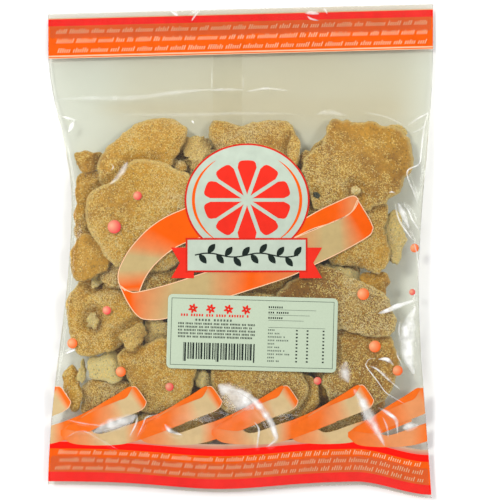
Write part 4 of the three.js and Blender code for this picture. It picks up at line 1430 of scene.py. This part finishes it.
class PEELBAG_OT_ribbon_row(bpy.types.Operator):
    """Print the row of ribbon loops over the bottom band"""
    bl_idname = "peelbag.make_ribbon_row"
    bl_label = "Make Ribbon Row"

    # Where each loop turns over, and how pale it is.
    FOLDS = ((-75, -56.1, 1), (-43.6, -55.9, 1), (-12.3, -55.7, 1), (19, -55.5, 1),
             (50.3, -55.3, 1), (75.5, -56.6, 0.45))
    LOW_LIFT, BACK_LIFT, FRONT_LIFT, FOLD_LINE_LIFT = 0.11, 0.23, 0.35, 0.47
    LIFT_STEP = 0.07  # added under every second loop, so that neighbours pass over each other
    LOW_UPPER = ((-31, -18.5), (-26, -15.5), (-20, -17.5), (-14.5, -19.8), (-3.9, -16.4),
                 (2.8, -14.2), (10.6, -10.8), (19.5, -5.8))
    LOW_LOWER = ((-31, -20.5), (-27, -23.6), (-20, -24.6), (-10.6, -24.6), (-3.9, -23.9),
                 (2.8, -22), (10.6, -19.2), (20.6, -15.3))
    BACK_UPPER = ((-22.5, -13), (-14.5, -7.5), (-7.2, -3.1), (-2.8, -0.3), (0, 0))
    BACK_LOWER = ((-22.5, -14), (-13.3, -9.2), (-7.2, -6.7), (-2.4, -5), (0.2, -2))
    FRONT_UPPER = ((-27.5, -16.2), (-19.5, -11.6), (-13.3, -8.6), (-7.2, -6.1), (-3.4, -4.4),
                   (-1, -0.5), (0.5, -0.2))
    FRONT_LOWER = ((-29, -18), (-20, -18.9), (-13.9, -16.4), (-5, -13.1), (1.2, -10.6),
                   (3.9, -8.8), (4.7, -6.4))
    FOLD = ((-1.4, -0.1), (0.4, -0.2), (2.4, -2.6), (4.2, -5.4), (4.7, -6.6), (3.6, -8.9), (1, -10.6))

    def execute(self, context):
        settings = context.scene.peel_bag_print
        deep, cream, edge = settings.row_deep, settings.row_cream, settings.edge
        mid = tuple(0.55 * d + 0.45 * c for d, c in zip(deep, cream))
        strips = (
            (self.LOW_LOWER, self.LOW_UPPER, self.LOW_LIFT, 100, 14,
             ((0, deep), (0.28, mid), (0.42, cream), (0.56, cream), (0.7, deep), (0.9, deep),
              (1, mid))),
            (self.BACK_LOWER, self.BACK_UPPER, self.BACK_LIFT, 50, 8,
             ((0, mid), (0.3, deep), (1, deep))),
            (self.FRONT_LOWER, self.FRONT_UPPER, self.FRONT_LIFT, 70, 16,
             ((0, deep), (0.2, deep), (0.4, mid), (0.52, cream), (0.72, cream), (0.86, deep),
              (1, deep))),
        )
        patches = Patches(context)
        for number, (fold_x, fold_y, paleness) in enumerate(self.FOLDS):
            extra = self.LIFT_STEP * (number % 2)

            def placed(points):
                return [(fold_x + x, fold_y + y) for x, y in points]

            for lower, upper, lift, columns, rows, colours in strips:
                tints = [(share, tuple(d + paleness * (c - d) for c, d in zip(tint, deep)))
                         for share, tint in colours]
                patches.strip(placed(lower), placed(upper), tints, lift + extra, columns, rows)
            patches.line(placed(self.FOLD), 0.3, edge, self.FOLD_LINE_LIFT, 40)
        patches.build("print_ribbon_row")
        return {"FINISHED"}


class PEELBAG_OT_balls(bpy.types.Operator):
    """Print the small shaded balls"""
    bl_idname = "peelbag.make_balls"
    bl_label = "Make Balls"

    PINK = ((-42.5, 22.8, 1.75), (-52.1, 10.0, 2.75), (-55.2, -24.5, 1.75), (-29.3, -56.0, 1.7),
            (31.7, -53.5, 1.6), (71.0, -17.0, 1.3))
    ORANGE = ((-69.6, -38.2, 2.1), (-49.4, -49.8, 2.1), (50.6, -17.8, 2.45), (55.4, -39.4, 2.45),
              (64.9, -49.4, 2.1), (72.0, 1.2, 1.8))

    def execute(self, context):
        settings = context.scene.peel_bag_print
        patches = Patches(context)
        for balls, tint in ((self.PINK, settings.pink), (self.ORANGE, settings.deep)):
            for x0, y0, radius in balls:
                self.ball(patches, x0, y0, radius, np.array(tint))
        patches.build("print_balls")
        return {"FINISHED"}

    def ball(self, patches, x0, y0, radius, tint):
        """A disc whose colour goes from pale near its upper left to full at its lower right:
        share = the distance from the pale spot over 1.45 radii, to the power 0.7."""
        disc_x, disc_y = disc_grid(15)
        from_spot = np.hypot(disc_x + 0.42, disc_y - 0.2) / 1.45
        share = np.clip(from_spot, 0, 1)[..., None] ** 0.7
        pale = 0.4 * tint + np.array((0.5, 0.42, 0.24))
        x, y = within_film(x0 + radius * disc_x, y0 + radius * disc_y)
        patches.lay(x, y, pale * (1 - share) + tint * share, BALL_LIFT)


class PEELBAG_OT_roundel(bpy.types.Operator):
    """Print the roundel with its slice of citrus, and the plate with its leaves"""
    bl_idname = "peelbag.make_roundel"
    bl_label = "Make Roundel"

    CENTRE = (2.7, 21.0)
    RADIUS = 23.4
    STRETCH = 1.1
    WEDGES = 10

    def execute(self, context):
        settings = context.scene.peel_bag_print
        red, orange, pale, dark = settings.emblem, settings.orange, settings.pale, settings.dark
        patches = Patches(context)
        rim = self.RADIUS - 0.7
        for inner, outer, tint in ((rim, self.RADIUS, tuple(0.8 * c for c in red)), (0.05, rim, pale)):
            patches.ring(self.CENTRE, inner, outer, self.STRETCH, tint, GROUND_LIFT)
        for side in (0, math.pi):
            self.crescent(patches, side, orange)
        turn = 2 * math.pi / self.WEDGES
        for number in range(self.WEDGES):
            self.wedge(patches, turn * (number + 0.5), turn, red)
        self.plate(patches, red, pale, dark)
        patches.build("print_roundel")
        return {"FINISHED"}

    def crescent(self, patches, side, tint):
        """A thin crescent beside the slice: 1.1 mm wide in the middle, less towards its tips."""
        turn, share = np.meshgrid(np.linspace(-0.95, 0.95, 60), np.linspace(1, 0, 4))
        width = 1.1 * np.cos(turn * math.pi / 1.92) ** 0.7
        radius = self.RADIUS - 3.3 + (share - 0.5) * width
        x = self.CENTRE[0] + self.STRETCH * radius * np.cos(side + turn)
        y = self.CENTRE[1] + radius * np.sin(side + turn)
        patches.lay(x, y, tint, SLICE_LIFT)

    def wedge(self, patches, middle, full_angle, tint):
        """One wedge of the slice: a sector with even gaps beside it and rounded outer corners."""
        across, along = np.meshgrid(np.linspace(1, -1, 12), np.linspace(0, 1, 16))
        outer = 16.4 * (1 - 0.05 * across**6)
        radius = 2.2 + (outer - 2.2) * along
        gap = 0.75 / np.maximum(radius, 1.0)
        half = np.maximum(0.5 * full_angle - gap, 0.01)
        half = half * (1 - 0.22 * smooth(along, 0.86, 1))
        angle = middle + across * half
        x = self.CENTRE[0] + self.STRETCH * radius * np.cos(angle)
        y = self.CENTRE[1] + radius * np.sin(angle)
        patches.lay(x, y, tint, SLICE_LIFT, turned=True)

    def plate(self, patches, red, pale, dark):
        """The plate across the roundel, its two red tails, and a sprig of leaves along it."""
        left, right, low, high = -21.8, 26.8, -8.0, 4.6
        for side, sign in ((left, -1), (right, 1)):
            tail_low, tail_high = low - 3.2, high - 3.2
            tip, root = side + sign * 6.8, side - sign * 2.6
            notch = side + sign * 3.2
            middle = 0.5 * (tail_low + tail_high)
            corners = (((root, middle), (notch, middle), (tip, tail_high), (root, tail_high)),
                       ((root, tail_low), (tip, tail_low), (notch, middle), (root, middle)))
            for four in corners:
                ordered = four if sign > 0 else (four[1], four[0], four[3], four[2])
                patches.quad(ordered, red, TAIL_LIFT)
        for rim, tint, lift in ((0.75, tuple(0.8 * c for c in red), RIM_LIFT), (0, pale, PLATE_LIFT)):
            field = ((left - rim, low - rim), (right + rim, low - rim),
                     (right + rim, high + rim), (left - rim, high + rim))
            patches.quad(field, tint, lift, 60, 16)
        middle = 0.5 * (low + high)
        length = right - left - 6.0
        stem = [(left + 3.0 + length * t, middle + 0.8 * math.sin(4 * math.pi * t))
                for t in np.linspace(0, 1, 13)]
        patches.line(stem, 0.55, dark, LEAF_LIFT, 120)
        for number in range(12):
            t = (number + 0.5) / 12
            up = 1 if number % 2 else -1
            root = (left + 3.0 + length * t, middle + 0.8 * math.sin(4 * math.pi * t))
            self.leaf(patches, root, math.radians(52) * up, 4.9, dark)

    def leaf(self, patches, root, turn, reach, tint):
        """A leaf: along its length t its half width is 1.25 sin(pi t)^0.8."""
        t, across = np.meshgrid(np.linspace(0, 1, 12), np.linspace(-1, 1, 5))
        half = 1.25 * np.sin(math.pi * t) ** 0.8
        along, aside = reach * t, half * across
        x = root[0] + along * math.cos(turn) - aside * math.sin(turn)
        y = root[1] + along * math.sin(turn) + aside * math.cos(turn)
        patches.lay(x, y, tint, LEAF_LIFT)


class PEELBAG_OT_label(bpy.types.Operator):
    """Make the paper label and its printing"""
    bl_idname = "peelbag.make_label"
    bl_label = "Make Label"

    def surface(self, context, across, up, lift):
        """Points at places across and up the label, that far over the film."""
        cos, sin = math.cos(LABEL_TURN), math.sin(LABEL_TURN)
        x = LABEL_CENTRE[0] + across * cos - up * sin
        y = LABEL_CENTRE[1] + across * sin + up * cos
        return on_film(context, x, y, lift)

    def execute(self, context):
        settings = context.scene.peel_bag_label
        width, height = settings.width / MM, settings.height / MM
        corner = settings.corner / MM
        line = np.linspace(-1, 1, 121)
        up = np.concatenate([
            -height / 2 + corner * (1 - np.cos(np.linspace(0, math.pi / 2, 7)[:-1])),
            np.linspace(-height / 2 + corner, height / 2 - corner, 48),
            height / 2 - corner * (1 - np.cos(np.linspace(math.pi / 2, 0, 7)[1:])),
        ])
        beyond = np.maximum(np.abs(up) - (height / 2 - corner), 0)
        half = width / 2 - corner + np.sqrt(np.maximum(corner**2 - beyond**2, 0))
        across = line[None] * half[:, None]
        up = np.broadcast_to(up[:, None], across.shape)
        points, faces = closed_sheet(self.surface(context, across, up, LABEL_TOP),
                                     self.surface(context, across, up, LABEL_UNDER))
        label = new_piece("label_sheet", points, faces, paper_material(), "label_paper")
        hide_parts("label")
        self.print_on(context, width, height, settings.border / MM)
        return {"FINISHED"}

    def bar(self, patches, left, right, low, high, tint):
        """A printed bar on the label, in the label's own coordinates from its middle."""
        columns = max(2, int((right - left) / 1.5) + 2)
        rows = max(2, int((high - low) / 2.0) + 2)
        across, up = np.meshgrid(np.linspace(left, right, columns), np.linspace(low, high, rows))
        patches.add(self.surface(patches.context, across, up, LABEL_INK_LIFT), tint)

    def print_on(self, context, width, height, inset):
        settings = context.scene.peel_bag_print
        dark, red = settings.dark, tuple(0.9 * c for c in settings.emblem)
        grey = (0.1, 0.13, 0.1)
        patches = Patches(context)
        right, high, line = width / 2 - inset, height / 2 - inset, 0.22
        for low_edge in (-high, high - line):
            self.bar(patches, -right, right, low_edge, low_edge + line, grey)
        for left_edge in (-right, right - line):
            self.bar(patches, left_edge, left_edge + line, -high, high, grey)
        rng = np.random.default_rng(81)
        for number in range(4):
            self.emblem(patches, -24.6 + 7.3 * number, 9.6, red)
        self.words(patches, rng, -29.5, -1.0, 6.4, 1.0, red, 0.62)
        self.words(patches, rng, -23.5, -8.5, 4.5, 0.9, grey, 0.75)
        for row in range(5):
            end = 1.5 - 1.3 * (row % 3 == 1)
            self.words(patches, rng, -30.5, end, 3.0 - 1.35 * row, 0.78, dark, 0.36)
        self.bars(patches, dark)
        for row in range(3):
            base = 10.6 - 2.2 * row
            self.words(patches, rng, 6.5, 12.5 + 3 * (row == 1), base, 0.75, dark, 0.5)
            self.bar(patches, 6.5, 26 - 2.5 * row, base - 0.7, base - 0.55, grey)
        self.bar(patches, 6.5, 30.0, 2.6, 2.75, grey)
        for row in range(10):
            base = 1.3 - 1.42 * row
            self.words(patches, rng, 6.5, 9.5 + 2.2 * (row % 4), base, 0.62, grey, 0.42)
            for column in (18.0, 22.4, 29.0):
                self.bar(patches, column, column + 0.75, base, base + 0.6, dark)
        patches.build("label_print")

    def words(self, patches, rng, left, right, base, tall, tint, wide):
        """A line of upright dashes in groups of 3 to 8, in place of writing."""
        position = left
        while position < right:
            for _ in range(rng.integers(3, 9)):
                if position + wide > right:
                    break
                self.bar(patches, position, position + wide, base, base + tall, tint)
                position += wide * 1.75
            position += wide * 1.4

    def emblem(self, patches, across, up, tint):
        """A small flower of six petals, in place of a large heading letter."""
        for number in range(6):
            turn = math.pi * number / 3 + 0.3
            t, side = np.meshgrid(np.linspace(0.12, 1, 9), np.linspace(-1, 1, 5))
            half = 0.5 * np.sin(math.pi * t) ** 0.7
            along = 2.1 * t
            x = across + along * math.cos(turn) - half * side * math.sin(turn)
            y = up + along * math.sin(turn) + half * side * math.cos(turn)
            patches.add(self.surface(patches.context, x, y, LABEL_INK_LIFT), tint)

    def bars(self, patches, tint):
        """A block of bars: widths follow 7 n mod 4, and gaps 5 n + n // 4 mod 3."""
        position, number = -28.2, 0
        while position < 0.8:
            wide = 0.2 + 0.17 * ((7 * number) % 4)
            drop = 0.9 if number in (0, 1, 16, 17) or position > -0.4 else 0.0
            self.bar(patches, position, position + wide, -11.2 - drop, -4.4, tint)
            position += wide + 0.24 + 0.2 * ((5 * number + number // 4) % 3)
            number += 1


class PEELBAG_OT_stems(bpy.types.Operator):
    """Make the dried stem end in the dimple of a piece of peel: a low dome with five faint lobes"""
    bl_idname = "peelbag.make_stems"
    bl_label = "Make Stem Ends"

    PLACE = (31.3, 23.1)
    RADIUS = 1.35

    def execute(self, context):
        _, top = lay_filling(context.scene.peel_bag_peel.thickness / MM)
        disc_x, disc_y = disc_grid(25)
        share = np.hypot(disc_x, disc_y)
        angle = np.arctan2(disc_y, disc_x)
        rim = self.RADIUS * (1 + 0.14 * np.cos(2 * angle + 1) + 0.08 * np.cos(5 * angle))
        x, y = self.PLACE[0] + rim * disc_x, self.PLACE[1] + rim * disc_y
        base = sample(top, x, y)
        lobes = 0.75 + 0.25 * np.cos(5 * angle) * share
        crown = 0.9 * np.sqrt(np.clip(1 - share**2, 0, 1)) * lobes
        pit = 0.5 * np.exp(-((share / 0.25) ** 2))
        upper = np.stack([x, y, base + crown - pit], axis=-1)
        lower = np.stack([x, y, base - 0.4 * (1 - share**2) - 0.02], axis=-1)
        new_piece("stem_ends", *closed_sheet(upper, lower), stem_material(), "sugared_peel")
        return {"FINISHED"}


class PEELBAG_OT_stage(bpy.types.Operator):
    """Make the floor, the lamps and the camera that looks down on the bag"""
    bl_idname = "peelbag.make_stage"
    bl_label = "Make Stage"

    def execute(self, context):
        settings = context.scene.peel_bag_stage
        self.make_floor()
        self.make_lamps(settings)
        self.make_camera(context, settings)
        context.scene.view_settings.view_transform = "Standard"
        context.scene.cycles.transparent_max_bounces = 24
        context.scene.cycles.sample_clamp_indirect = 4.0
        return {"FINISHED"}

    def make_floor(self):
        """A flat disc 8 m wide: rings of points at radii that double."""
        radius = np.concatenate([[0.001], 125.0 * 2.0 ** np.arange(6)])
        turn = np.linspace(0, 2 * math.pi, 97)[:-1]
        x, y = radius[:, None] * np.cos(turn), radius[:, None] * np.sin(turn)
        points = np.stack([x, y, np.full_like(x, -0.02)], axis=-1).reshape(-1, 3)
        start = (np.arange(radius.size - 1) * turn.size)[:, None]
        step = np.arange(turn.size)
        following = (step + 1) % turn.size
        faces = np.stack([start + step, start + turn.size + step, start + turn.size + following,
                          start + following], axis=-1).reshape(-1, 4)
        mesh = bpy.data.meshes.new("floor")
        mesh.from_pydata((points * MM).tolist(), [], faces.tolist())
        mesh.materials.append(floor_material())
        floor = bpy.data.objects.new("floor", mesh)
        bpy.context.scene.collection.objects.link(floor)

    def make_lamps(self, settings):
        """A pale even sky, low soft boxes round the bag whose light the film's steep folds mirror,
        and two suns that shade the peel and that the film doesn't mirror."""
        world = bpy.data.worlds.new("studio")
        world.use_nodes = True
        sky = world.node_tree.nodes["Background"]
        sky.inputs["Color"].default_value = (1.0, 1.0, 1.0, 1.0)
        sky.inputs["Strength"].default_value = 0.46
        bpy.context.scene.world = world
        away, high = 1.3, 0.34
        for turn in (20, 105, 170, 265):
            light = bpy.data.lights.new("soft_box", "AREA")
            light.shape = "RECTANGLE"
            light.size, light.size_y = 0.9, 0.32
            light.energy = settings.box_power
            along = math.radians(turn)
            self.aim(light, (away * math.cos(along), away * math.sin(along), high))
        for name, place, share in (("sun_left", (-0.5, 0.42, 1.05), 1.0),
                                   ("sun_right", (0.5, 0.1, 1.0), 0.5)):
            light = bpy.data.lights.new(name, "SUN")
            light.angle = math.radians(12)
            light.energy = settings.key_power * share
            self.aim(light, place).visible_glossy = False

    def aim(self, light, place):
        """Puts a lamp with this light at a place, turned towards the middle of the floor."""
        lamp = bpy.data.objects.new(light.name, light)
        lamp.location = place
        lamp.rotation_euler = (-lamp.location).to_track_quat("-Z", "Y").to_euler()
        bpy.context.scene.collection.objects.link(lamp)
        return lamp

    def make_camera(self, context, settings):
        """The camera looks straight down, a little right of the bag's middle. Its lens makes the
        seals' level as wide as asked."""
        data = bpy.data.cameras.new("camera")
        camera = bpy.data.objects.new("camera", data)
        level = 0.5 * (SEAM_LOW + SEAM_HIGH) * MM
        data.sensor_width = 36.0
        data.lens = data.sensor_width * (settings.camera_height - level) / settings.view_width
        data.clip_start, data.clip_end = 0.01, 20.0
        right, up = 0.0039, 0.0004
        camera.location = (right, up, settings.camera_height)
        context.scene.collection.objects.link(camera)
        context.scene.camera = camera


class PEELBAG_PT_panel(bpy.types.Panel):
    """Sizes, colours and steps of the peel bag"""
    bl_label = "Peel Bag"
    bl_idname = "PEELBAG_PT_panel"
    bl_space_type = "VIEW_3D"
    bl_region_type = "UI"
    bl_category = "Peel Bag"

    def draw(self, context):
        for group in SETTINGS:
            box = self.layout.box()
            held = getattr(context.scene, group)
            for name in held.bl_rna.properties.keys():
                if name not in ("rna_type", "name"):
                    box.prop(held, name)
        for operator in OPERATORS:
            self.layout.operator(operator.bl_idname)


SETTINGS = {
    "peel_bag_peel": PeelSettings,
    "peel_bag_film": FilmSettings,
    "peel_bag_print": PrintSettings,
    "peel_bag_label": LabelSettings,
    "peel_bag_stage": StageSettings,
}
OPERATORS = (
    PEELBAG_OT_stage, PEELBAG_OT_peel, PEELBAG_OT_stems, PEELBAG_OT_sugar, PEELBAG_OT_film,
    PEELBAG_OT_painted_glare, PEELBAG_OT_bands, PEELBAG_OT_ribbon, PEELBAG_OT_ribbon_row,
    PEELBAG_OT_balls, PEELBAG_OT_roundel, PEELBAG_OT_label,
)


def register():
    for group in (*SETTINGS.values(), *OPERATORS, PEELBAG_PT_panel):
        bpy.utils.register_class(group)
    for name, group in SETTINGS.items():
        setattr(bpy.types.Scene, name, bpy.props.PointerProperty(type=group))


def unregister():
    for name in SETTINGS:
        delattr(bpy.types.Scene, name)
    for group in (PEELBAG_PT_panel, *reversed(OPERATORS), *SETTINGS.values()):
        bpy.utils.unregister_class(group)


def main():
    register()
    for operator in OPERATORS:
        group, name = operator.bl_idname.split(".")
        getattr(getattr(bpy.ops, group), name)()


if __name__ == "__main__":
    main()
